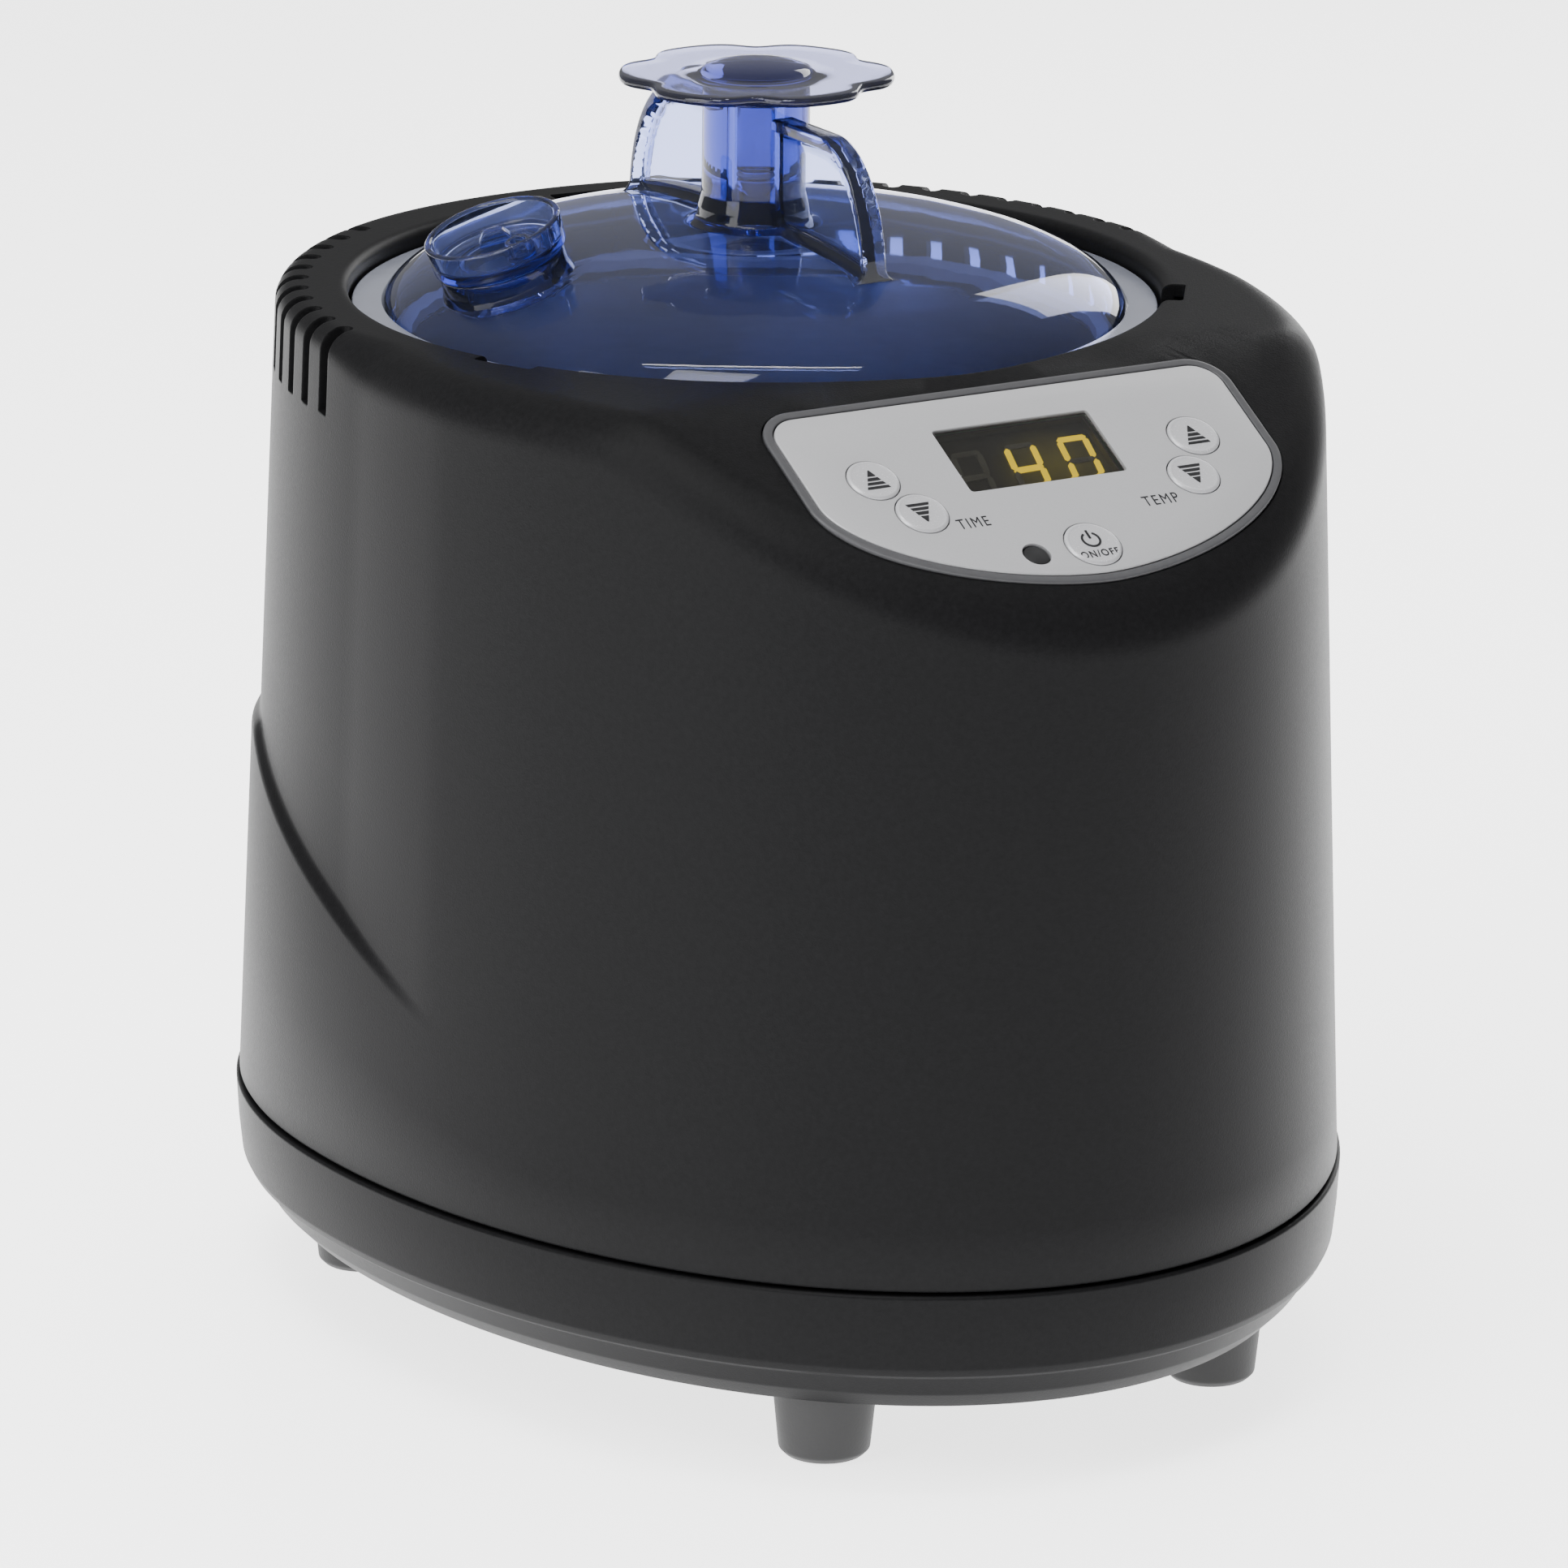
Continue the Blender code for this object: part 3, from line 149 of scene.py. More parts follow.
M = {
    "casing": finish("casing_plastic", (0.0058, 0.0058, 0.0062), 0.42, grain=(2600, 0.30, 0.00016), mottle=0.20,
                     mottle_scale=900, rough_spread=0.06, edge=0.0006, spec=0.07),
    "tray": finish("tray_plastic", (0.0058, 0.0058, 0.0062), 0.40, grain=(2600, 0.26, 0.00015), mottle=0.20,
                   mottle_scale=900, rough_spread=0.06, edge=0.0005, spec=0.07),
    "rubber": finish("foot_rubber", (0.009, 0.009, 0.0095), 0.55, grain=(1600, 0.25, 0.0002), mottle=0.2,
                     mottle_scale=300, edge=0.0004),
    "bezel": finish("bezel_plastic", (0.042, 0.042, 0.045), 0.40, grain=(2400, 0.15, 0.0001), mottle=0.08,
                    mottle_scale=500, edge=0.0004),
    "panel": finish("panel_film", (0.36, 0.36, 0.37), 0.36, metal=0.35, grain=(3200, 0.10, 0.0001), mottle=0.03,
                    mottle_scale=2500, rough_spread=0.05, edge=0.0003),
    "button": finish("button_plastic", (0.43, 0.43, 0.445), 0.26, metal=0.35, grain=(3200, 0.06, 0.0001),
                     mottle=0.03, mottle_scale=2500, edge=0.0003),
    "print": finish("panel_print", (0.004, 0.004, 0.005), 0.6, grain=(2000, 0.05, 0.0001), mottle=0.1,
                    mottle_scale=700),
    "smoked": finish("smoked_lens", (0.60, 0.58, 0.52), 0.06, clear=1.0, grain=(700, 0.02, 0.0001), mottle=0.05,
                     mottle_scale=200, rough_spread=0.02),
    "module": finish("display_face", (0.018, 0.018, 0.016), 0.55, grain=(2600, 0.2, 0.0001), mottle=0.2,
                     mottle_scale=1800),
    "segment_off": finish("segment_dark", (0.10, 0.10, 0.095), 0.5, grain=(2600, 0.1, 0.0001), mottle=0.12,
                          mottle_scale=1800),
    "segment_on": finish("segment_lit", (0.20, 0.14, 0.01), 0.4, grain=(900, 0.02, 0.0001), mottle=0.03,
                         mottle_scale=900, glow=(1.5, 1.08, 0.0)),
    "steel": finish("plated_steel", (0.55, 0.55, 0.56), 0.30, metal=1.0, grain=(1500, 0.08, 0.0001), mottle=0.08,
                    mottle_scale=400, rough_spread=0.08),
    # Pot steel colour, brightened and tinted blue: partly the steel's own grey, partly painted light standing in for
    # the bright blue light seen inside the pot through the lid
    "pot": finish("pot_steel", (0.52, 0.58, 0.70), 0.32, metal=1.0, grain=(500, 0.07, 0.0001), mottle=0.04,
                  mottle_scale=120, rough_spread=0.07, stretch=(1, 1, 7)),
    # Flange finish: a less metallic, glossier copy of the pot steel, so the pot rim and the lid collar's outer band
    # show up as a pale strip; partly the rim's real steel, partly painted sheen
    "flange": finish("flange_steel_painted_sheen", (0.40, 0.42, 0.50), 0.24, metal=0.75, grain=(500, 0.05, 0.0001), mottle=0.03,
                     mottle_scale=150),
    "cast": finish("cast_aluminium", (0.52, 0.52, 0.53), 0.52, metal=1.0, grain=(700, 0.5, 0.0004), mottle=0.12,
                   mottle_scale=250, rough_spread=0.1),
    "element": finish("element_sheath", (0.22, 0.20, 0.18), 0.48, metal=1.0, grain=(900, 0.2, 0.0002), mottle=0.3,
                      mottle_scale=90, rough_spread=0.12),
    "lid": finish("lid_plastic", (0.58, 0.66, 0.96), 0.02, clear=0.985, ior=1.34, grain=(120, 0.02, 0.0002),
                  mottle=0.02, mottle_scale=40, rough_spread=0.012),
    "knob": finish("knob_plastic", (0.68, 0.70, 0.93), 0.03, clear=0.985, ior=1.40, grain=(120, 0.02, 0.0002),
                   mottle=0.02, mottle_scale=40, rough_spread=0.015),
    "silicone": finish("silicone", (0.70, 0.70, 0.69), 0.5, grain=(900, 0.1, 0.0001), mottle=0.05,
                       mottle_scale=200),
    "black": finish("black_plastic", (0.010, 0.010, 0.0105), 0.35, grain=(1800, 0.15, 0.0001), mottle=0.15,
                    mottle_scale=500, edge=0.0003),
    "board": finish("circuit_board", (0.03, 0.17, 0.06), 0.35, grain=(600, 0.2, 0.0001), mottle=0.25,
                    mottle_scale=350, coat=0.4),
    "relay": finish("relay_case", (0.05, 0.13, 0.40), 0.32, grain=(900, 0.1, 0.0001), mottle=0.08, mottle_scale=200),
    "fuse": finish("fuse_ceramic", (0.80, 0.78, 0.72), 0.35, grain=(900, 0.1, 0.0001), mottle=0.05,
                   mottle_scale=200),
    "wire": finish("wire_sleeve", (0.22, 0.09, 0.04), 0.42, grain=(900, 0.1, 0.0001), mottle=0.1, mottle_scale=200),
    "ribbon": finish("ribbon_sleeve", (0.42, 0.42, 0.44), 0.5, grain=(900, 0.2, 0.0001), mottle=0.1,
                     mottle_scale=200, stretch=(6, 1, 1)),
    "brass": finish("inlet_pins", (0.78, 0.66, 0.38), 0.28, metal=1.0, grain=(900, 0.05, 0.0001), mottle=0.06,
                    mottle_scale=300),
}
add_absorption(M["lid"], (0.18, 0.24, 0.66), 190.0)
add_absorption(M["knob"], (0.20, 0.24, 0.60), 180.0)

def add_halo(mat, centre, tilt, reach, colour, strength):
    """A soft speckled glow round a point, in an ellipsoid of half sizes reach."""
    tree = mat.node_tree
    where = tree.nodes.new("ShaderNodeTexCoord")
    place = tree.nodes.new("ShaderNodeMapping")
    place.vector_type = "TEXTURE"
    place.inputs["Location"].default_value = centre
    place.inputs["Rotation"].default_value = (tilt, 0, 0)
    place.inputs["Scale"].default_value = reach
    tree.links.new(where.outputs["Object"], place.inputs["Vector"])
    ball = tree.nodes.new("ShaderNodeTexGradient")
    ball.gradient_type = "SPHERICAL"
    tree.links.new(place.outputs["Vector"], ball.inputs["Vector"])
    speckle = tree.nodes.new("ShaderNodeTexNoise")
    speckle.inputs["Scale"].default_value = 3200.0
    tree.links.new(where.outputs["Object"], speckle.inputs["Vector"])
    mix = tree.nodes.new("ShaderNodeMath")
    mix.operation = "MULTIPLY"
    tree.links.new(ball.outputs["Fac"], mix.inputs[0])
    tree.links.new(speckle.outputs["Fac"], mix.inputs[1])
    level = tree.nodes.new("ShaderNodeMapRange")
    level.inputs["From Min"].default_value = 0.06
    level.inputs["To Max"].default_value = strength
    tree.links.new(mix.outputs["Value"], level.inputs["Value"])
    tree.links.new(level.outputs["Result"], tree.nodes["Principled BSDF"].inputs["Emission Strength"])
    tree.nodes["Principled BSDF"].inputs["Emission Color"].default_value = (*colour, 1)


add_halo(M["module"], PANEL @ Vector((0.0065, -0.0120, -0.0036)), FACET_TILT, (0.0165, 0.0120, 0.0120),
         (0.85, 0.72, 0.02), 0.22)

SLOT_FINISH = {"casing_plastic": "casing", "tray_plastic": "tray", "rubber": "rubber", "silicone": "silicone",
               "screw_steel": "steel", "well_steel": "pot", "pot_steel": "pot", "cast_aluminium": "cast",
               "element_sheath": "element", "lid_plastic": "lid", "bezel_plastic": "bezel", "panel_film": "panel",
               "button_plastic": "button", "smoked_lens": "smoked", "black_plastic": "black",
               "circuit_board": "board", "relay_plastic": "relay", "fuse_ceramic": "fuse", "wire_sleeve": "wire",
               "ribbon_sleeve": "ribbon"}
for part in frame["record"]["subparts"]:
    node = frame["nodes"][part["node"]]
    look = M[SLOT_FINISH[part["material_slot"]]]
    if not node.material_slots:
        node.data.materials.append(look)
    for place in node.material_slots:
        place.material = look


# ---------------------------------------------------------------- mesh tools
def polish(obj, sharp=35.0):
    obj.data.shade_smooth()
    obj.data.set_sharp_from_angle(angle=math.radians(sharp))


def from_bmesh(name, bm, look=None, sharp=35.0, matrix=None):
    if matrix is not None:
        bmesh.ops.transform(bm, matrix=matrix, verts=bm.verts)
    bmesh.ops.recalc_face_normals(bm, faces=bm.faces)
    mesh = bpy.data.meshes.new(name)
    bm.to_mesh(mesh)
    bm.free()
    obj = bpy.data.objects.new(name, mesh)
    bpy.context.scene.collection.objects.link(obj)
    if look is not None:
        mesh.materials.append(M[look])
    polish(obj, sharp)
    return obj


def skin(rings, closed):
    """Join equal rings into a tube. closed joins the last ring to the first; otherwise both ends are capped."""
    bm = bmesh.new()
    loops = [[bm.verts.new(p) for p in ring] for ring in rings]
    count = len(loops[0])
    for i in range(len(loops) if closed else len(loops) - 1):
        low, high = loops[i], loops[(i + 1) % len(loops)]
        for k in range(count):
            n = (k + 1) % count
            bm.faces.new((low[k], low[n], high[n], high[k]))
    if not closed:
        bm.faces.new(loops[0])
        bm.faces.new(loops[-1])
    return bm


def lathe(profile, segments=96, closed=False, centre=(0.0, 0.0)):
    """Turn (radius, z) points. An open profile starts and ends on the axis and is closed by a fan there."""
    ring = [(math.cos(2 * math.pi * k / segments), math.sin(2 * math.pi * k / segments)) for k in range(segments)]
    if closed:
        return skin([[(centre[0] + r * c, centre[1] + r * s, z) for c, s in ring] for r, z in profile], True)
    bm = bmesh.new()
    loops = []
    for r, z in profile[1:-1]:
        loops.append([bm.verts.new((centre[0] + r * c, centre[1] + r * s, z)) for c, s in ring])
    for low, high in zip(loops, loops[1:]):
        for k in range(segments):
            n = (k + 1) % segments
            bm.faces.new((low[k], low[n], high[n], high[k]))
    for z, loop in ((profile[0][1], loops[0]), (profile[-1][1], loops[-1])):
        tip = bm.verts.new((centre[0], centre[1], z))
        for k in range(segments):
            bm.faces.new((loop[k], loop[(k + 1) % segments], tip))
    return bm


def rounded(profile, radius, closed=True, steps=4):
    """Replace each corner of a (radius, z) profile by a short arc. radius is one number or one per point."""
    radii = [radius] * len(profile) if isinstance(radius, (int, float)) else list(radius)
    out = []
    count = len(profile)
    for i, p in enumerate(profile):
        if radii[i] == 0 or (not closed and i in (0, count - 1)):
            out.append(p)
            continue
        here = Vector(p)
        back = Vector(profile[i - 1]) - here
        ahead = Vector(profile[(i + 1) % count]) - here
        if back.length < 1e-9 or ahead.length < 1e-9:
            out.append(p)
            continue
        angle = back.angle(ahead)
        if angle > math.radians(172):
            out.append(p)
            continue
        cut = min(radii[i] / math.tan(angle / 2), back.length * 0.45, ahead.length * 0.45)
        a, b = here + back.normalized() * cut, here + ahead.normalized() * cut
        for k in range(steps + 1):
            t = k / steps
            q = a * (1 - t) ** 2 + here * 2 * t * (1 - t) + b * t ** 2
            out.append((q.x, q.y))
    return out


def prism(points, low, high, soft=0.0, steps=3):
    """Extrude an outline of (x, y) points, with its top edge rounded by soft (the outline shrinks to its
    middle along its own normals)."""
    rings = [[(x, y, low) for x, y in points]]
    pts = np.array(points)
    ahead, behind = np.roll(pts, -1, 0), np.roll(pts, 1, 0)
    tangent = ahead - behind
    tangent /= np.linalg.norm(tangent, axis=1)[:, None]
    normal = np.stack([tangent[:, 1], -tangent[:, 0]], 1)
    area = np.sum(pts[:, 0] * ahead[:, 1] - ahead[:, 0] * pts[:, 1])
    if area < 0:
        normal = -normal
    for k in range(steps + 1 if soft > 0 else 1):
        a = math.pi / 2 * k / steps
        shrink = pts - normal * soft * (1 - math.cos(a))
        z = high - soft + soft * math.sin(a)
        rings.append([(float(x), float(y), z) for x, y in shrink])
    return skin(rings, False)


def box(low, high):
    bm = bmesh.new()
    size = [h - l for l, h in zip(low, high)]
    middle = [(h + l) / 2 for l, h in zip(low, high)]
    bmesh.ops.create_cube(bm, size=1.0, matrix=Matrix.Translation(middle) @ Matrix.Diagonal((*size, 1.0)))
    return bm


def rounded_rectangle(left, bottom, right, top, radius, steps=5):
    points = []
    for cx, cy, start in ((right - radius, top - radius, 0), (left + radius, top - radius, 90),
                          (left + radius, bottom + radius, 180), (right - radius, bottom + radius, 270)):
        for k in range(steps + 1):
            a = math.radians(start + 90 * k / steps)
            points.append((cx + radius * math.cos(a), cy + radius * math.sin(a)))
    return points


def soft_box(low, high, radius, soft=0.0004):
    """A box with rounded upright corners and a rounded top edge."""
    return prism(rounded_rectangle(low[0], low[1], high[0], high[1], radius), low[2], high[2], soft)


def gather(parts):
    whole = bmesh.new()
    for bm in parts:
        mesh = bpy.data.meshes.new("part")
        bmesh.ops.recalc_face_normals(bm, faces=bm.faces)
        bm.to_mesh(mesh)
        bm.free()
        whole.from_mesh(mesh)
        bpy.data.meshes.remove(mesh)
    return whole


def moved(bm, matrix):
    bmesh.ops.transform(bm, matrix=matrix, verts=bm.verts)
    return bm


def spin_z(degrees):
    return Matrix.Rotation(math.radians(degrees), 4, "Z")


def combine(target, bm, operation, sharp=35.0):
    tool = from_bmesh("tool", bm)
    mod = target.modifiers.new("shape", "BOOLEAN")
    mod.operation = operation
    mod.solver = "EXACT"
    mod.object = tool
    bpy.context.view_layer.update()
    mesh = bpy.data.meshes.new_from_object(target.evaluated_get(bpy.context.evaluated_depsgraph_get()))
    target.modifiers.clear()
    old = target.data
    target.data = mesh
    bpy.data.meshes.remove(old)
    bpy.data.objects.remove(tool, do_unlink=True)
    polish(target, sharp)


def settle(obj, body, *nodes):
    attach(obj, body)
    if nodes:
        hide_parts(*nodes)
    return obj


# ---------------------------------------------------------------- casing outline
def outline_radius(phi, shrink):
    phi, shrink = np.broadcast_arrays(phi, shrink)
    low, high = np.full(phi.shape, 0.04), np.full(phi.shape, 0.20)
    for _ in range(36):
        mid = (low + high) / 2
        x = np.abs(mid * np.cos(phi)) / (HALF_WIDTH - shrink)
        dy = POT_Y + mid * np.sin(phi) - OUTLINE_Y
        front = dy < 0
        depth = np.where(front, FRONT_DEPTH, REAR_DEPTH) - shrink
        inside = x ** np.where(front, 2.0, REAR_POWER) + (np.abs(dy) / depth) ** np.where(front, 2.0, REAR_POWER) < 1
        low, high = np.where(inside, mid, low), np.where(inside, high, mid)
    return (low + high) / 2


def wall_shrink(phi, z):
    y = POT_Y + outline_radius(phi, 0.0) * np.sin(phi)
    ledge = np.clip(LEDGE_Z + LEDGE_SLOPE * (y - LEDGE_Y), LEDGE_LOW, LEDGE_HIGH)
    fade = np.clip((y - LEDGE_Y) / 0.034, 0, 1)
    above = np.clip((z - ledge) / LEDGE_SOFT + 0.5, 0, 1)
    above = above * above * (3 - 2 * above)
    return SEAM_STEP + DRAFT * (z - SEAM_Z) + LEDGE_STEP * fade * above, ledge


def top_height(y, drop):
    flat = TOP_Z - drop
    slope = FACET_Z + (y - FACET_Y) * math.tan(FACET_TILT) - drop / math.cos(FACET_TILT)
    return (flat + slope - np.sqrt((flat - slope) ** 2 + CREASE_BLEND ** 2)) / 2


def casing_rows(phi, inset, bottom, inner_r, corner, top_steps, wall_steps, ledge_steps):
    def wall(z):
        return outline_radius(phi, inset + wall_shrink(phi, z)[0])

    corner_z = np.full(phi.shape, TOP_Z - inset)
    for _ in range(12):
        corner_r = wall(corner_z)
        corner_z = top_height(POT_Y + corner_r * np.sin(phi), inset)
    reach = max(corner)
    ledge = wall_shrink(phi, corner_z)[1]
    heights = [np.full(phi.shape, bottom + 0.0006), (bottom + ledge) / 2]
    for k in range(ledge_steps + 1):
        heights.append(ledge + LEDGE_SOFT * (k / ledge_steps - 0.5) * 1.1)
    top = corner_z - reach
    for k in range(1, wall_steps):
        heights.append(heights[ledge_steps + 2] * (1 - k / wall_steps) + top * k / wall_steps)
    heights.append(top)
    rows = [(wall(np.full(phi.shape, bottom)) - 0.0004, np.full(phi.shape, bottom))]
    rows += [(wall(z), z) for z in heights]
    plain = len(rows) - 1
    for step in sorted(corner, reverse=True)[1:]:
        z = corner_z - step
        rows.append((wall(z), z))
    fit = np.minimum(1.0, 0.82 * (corner_r - inner_r) / reach)
    for step in sorted(corner)[1:]:
        radius = corner_r - step * fit
        rows.append((radius, top_height(POT_Y + radius * np.sin(phi), inset)))
    start = corner_r - reach * fit
    for k in range(1, top_steps + 1):
        radius = start + (inner_r - start) * k / top_steps
        rows.append((radius, top_height(POT_Y + radius * np.sin(phi), inset)))

    facet_share = np.clip((TOP_Z - inset - corner_z) / 0.012, 0, 1)
    rear_share = np.clip((POT_Y + corner_r * np.sin(phi) - ROUND_START) / ROUND_BLEND, 0, 1)
    rounding = EDGE_ROUND + (REAR_ROUND - EDGE_ROUND) * rear_share
    rounding = np.maximum(rounding + (FACET_ROUND - EDGE_ROUND) * facet_share - inset, 0.0012)
    eye_r, eye_z = 0.080, 0.190

    def outside(radius, z):
        to_wall = radius - wall(z) + rounding
        to_top = z - top_height(POT_Y + radius * np.sin(phi), inset) + rounding
        both = (to_wall > 0) & (to_top > 0)
        return np.where(both, np.hypot(to_wall, to_top), np.maximum(to_wall, to_top)) - rounding

    fitted = []
    for number, (radius, z) in enumerate(rows):
        if number < plain or number == len(rows) - 1:
            fitted.append((radius, z))
            continue
        near, far = np.zeros(phi.shape), np.full(phi.shape, 1.0)
        for _ in range(24):
            t = (near + far) / 2
            out = outside(eye_r + (radius - eye_r) * t, eye_z + (z - eye_z) * t) > 0
            far, near = np.where(out, t, far), np.where(out, near, t)
        fitted.append((eye_r + (radius - eye_r) * far, eye_z + (z - eye_z) * far))
    return fitted


def ring_points(phi, radius, z):
    radius = np.broadcast_to(np.asarray(radius, float), phi.shape)
    z = np.broadcast_to(np.asarray(z, float), phi.shape)
    return [(float(r * math.cos(a)), float(POT_Y + r * math.sin(a)), float(h)) for a, r, h in zip(phi, radius, z)]


# ---------------------------------------------------------------- control panel outline
def panel_outline(offset, corner_steps=10, arc_steps=36):
    half, top = PANEL_HALF + offset, PANEL_TOP + offset
    corner = max(PANEL_CORNER + offset, 0.001)
    depth = PANEL_SIDE_END - PANEL_BOTTOM + offset
    quarter = []
    for k in range(corner_steps + 1):
        a = math.pi / 2 * k / corner_steps
        quarter.append((half - corner + corner * math.cos(a), top - corner + corner * math.sin(a)))
    points = quarter + [(-x, y) for x, y in reversed(quarter)]
    for k in range(arc_steps * 2 + 1):
        a = math.pi + math.pi * k / (arc_steps * 2)
        c, s = math.cos(a), -math.sin(a)
        x = math.copysign(abs(c) ** (2 / PANEL_POWER), c) * half
        points.append((x, PANEL_SIDE_END - max(s, 0.0) ** (2 / PANEL_POWER) * depth))
    return points


# ---------------------------------------------------------------- casing and tray
def vent_cutter(turn):
    """A slot with a rounded lower end in the wall and a rounded inner end on the top."""
    half = VENT_WIDTH / 2
    plan = []
    for k in range(9):
        t = -half + VENT_WIDTH * k / 8
        plan.append((0.125, t))
    for k in range(9):
        a = math.pi / 2 + math.pi * k / 8
        plan.append((VENT_INNER_R + half + half * math.cos(a), half * math.sin(a)))
    low = [(x, y, VENT_Z + half - math.sqrt(max(half * half - y * y, 0.0))) for x, y in plan]
    high = [(x, y, 0.232) for x, y in plan]
    return moved(skin([low, high], False), AXIS @ spin_z(turn))


def build_casing():
    phi = np.radians(np.arange(216) * 360.0 / 216)
    bottom = SEAM_Z + 0.0004
    fine = tuple(0.016 * (k / 11) ** 1.35 for k in range(12))
    outer = casing_rows(phi, 0.0, bottom, MOUTH_R + LIP, fine, 3, 4, 6)
    rings = [ring_points(phi, r, z) for r, z in outer]
    for k in range(1, 6):
        a = math.pi / 2 * k / 5
        radius = MOUTH_R + LIP * (1 - math.sin(a))
        height = top_height(POT_Y + (MOUTH_R + LIP) * np.sin(phi), 0.0) - LIP * (1 - math.cos(a))
        rings.append(ring_points(phi, radius, height))
    rings.append(ring_points(phi, MOUTH_R, SKIRT_Z + 0.0005))
    rings.append(ring_points(phi, MOUTH_R + 0.0004, SKIRT_Z))
    rings.append(ring_points(phi, SKIRT_R, SKIRT_Z))
    inner = casing_rows(phi, WALL, bottom, SKIRT_R, (0.0, 0.004, 0.008, 0.013), 1, 2, 3)
    rings += [ring_points(phi, r, z) for r, z in reversed(inner)]
    casing = from_bmesh("casing_shell", skin(rings, True), "casing")

    solids = []
    for degrees, radius in POSTS:
        a = math.radians(degrees)
        solids.append(lathe([(0, 0.0320), (0.0050, 0.0320), (0.0050, 0.0620), (0, 0.0620)], 24,
                            centre=(radius * math.cos(a), POT_Y + radius * math.sin(a))))
    combine(casing, gather(solids), "UNION")
    for degrees, radius in POSTS:
        reach = float(outline_radius(np.array([math.radians(degrees)]), DRAFT * 0.012)[0]) - WALL / 2
        web = box((radius, -0.0011, 0.0500), (reach, 0.0011, 0.0600))
        combine(casing, moved(web, AXIS @ spin_z(degrees)), "UNION")
    pad = box((-0.0190, 0.1280, INLET_Z - 0.0155), (0.0190, 0.1335, INLET_Z + 0.0155))
    combine(casing, pad, "UNION")

    holes = []
    for side in (1, -1):
        for k in range(VENTS_PER_SIDE):
            turn = VENT_FIRST + VENT_PITCH * k
            holes.append(vent_cutter(turn if side > 0 else 180.0 - turn))
    for degrees in NOTCH_ANGLES:
        notch = soft_box((0.080, -NOTCH_WIDTH / 2, 0.2080), (NOTCH_R, NOTCH_WIDTH / 2, 0.230), 0.0009, 0)
        holes.append(moved(notch, AXIS @ spin_z(degrees)))
    combine(casing, gather(holes), "DIFFERENCE")
    upright = Matrix.Translation((0, 0, INLET_Z)) @ Matrix.Rotation(-math.pi / 2, 4, "X")
    recess = prism(rounded_rectangle(-0.0153, -0.0123, 0.0153, 0.0123, 0.0012), 0.1315, 0.145)
    combine(casing, moved(recess, upright), "DIFFERENCE")
    combine(casing, box((-0.0138, 0.110, INLET_Z - 0.0101), (0.0138, 0.140, INLET_Z + 0.0101)), "DIFFERENCE")
    combine(casing, moved(prism(panel_outline(BEZEL_OUT + GAP), -0.0015, 0.010), PANEL), "DIFFERENCE")
    combine(casing, moved(prism(panel_outline(0.0016), -0.010, 0.010), PANEL), "DIFFERENCE")
    settle(casing, "root", "upper_casing")


def build_tray():
    phi = np.radians(np.arange(216) * 360.0 / 216)
    corners = ((0.0122, TRAY_BOTTOM), (0.0102, 0.0162), (0.0064, 0.0200), (0.0036, 0.0246), (0.0022, 0.0254),
               (0.0013, 0.0272), (0.0006, 0.0340), (0.0001, 0.0430), (0.0006, 0.0435), (0.0040, 0.0435),
               (0.0040, 0.0475), (0.0054, 0.0475), (0.0054, 0.0415), (0.0032, 0.0392), (0.0040, 0.0285),
               (0.0068, 0.0240), (0.0132, TRAY_BOTTOM + 0.0026))
    softness = (0.0008, 0.0012, 0.003, 0.0006, 0.0007, 0.0015, 0.004, 0.0004, 0.0003, 0, 0, 0, 0, 0, 0, 0, 0)
    profile = rounded(corners, softness, closed=False, steps=4)
    rings = [ring_points(phi, outline_radius(phi, inset), z) for inset, z in profile]
    tray = from_bmesh("tray_shell", skin(rings, False), "tray")
    solids = [lathe([(0, 0.0170), (0.0045, 0.0170), (0.0045, 0.0260), (0, 0.0260)], 24, centre=at)
              for at in FEET.values()]
    centres = [(r * math.cos(math.radians(d)), POT_Y + r * math.sin(math.radians(d))) for d, r in POSTS]
    for at in centres:
        solids.append(lathe([(0, 0.0170), (0.0056, 0.0170), (0.0056, 0.0317), (0, 0.0317)], 24, centre=at))
    for x in (-0.037, 0.037):
        for y in (-0.099, -0.061):
            solids.append(lathe([(0, 0.0170), (0.0030, 0.0170), (0.0030, 0.0222), (0, 0.0222)], 16, centre=(x, y)))
    combine(tray, gather(solids), "UNION")
    holes = [lathe([(0, 0.0100), (0.0017, 0.0100), (0.0017, 0.0245), (0, 0.0245)], 16, centre=at)
             for at in FEET.values()]
    for at in centres:
        holes.append(lathe([(0, 0.0100), (0.0042, 0.0100), (0.0042, 0.0270), (0.0017, 0.0270), (0.0017, 0.0340),
                            (0, 0.0340)], 24, centre=at))
    for k in range(7):
        y = -0.012 + 0.010 * k
        holes.append(moved(prism(rounded_rectangle(-0.022, -0.0015, 0.022, 0.0015, 0.00149), 0.010, 0.022),
                           Matrix.Translation((0, y, 0))))
    combine(tray, gather(holes), "DIFFERENCE")
    settle(tray, "root", "base_tray")


def build_feet():
    profile = [(0.0045, 0.0), (0.0082, 0.0), (0.0096, 0.0014), (0.0110, TRAY_BOTTOM - GAP),
               (0.0017, TRAY_BOTTOM - GAP), (0.0017, 0.0115), (0.0045, 0.0115)]
    soft = rounded(profile, (0.0006, 0.0012, 0.0012, 0.0004, 0, 0, 0), True)
    for place, at in FEET.items():
        foot = from_bmesh("rubber_" + place, lathe(soft, 72, True, at), "rubber")
        settle(foot, "root", "foot_" + place)
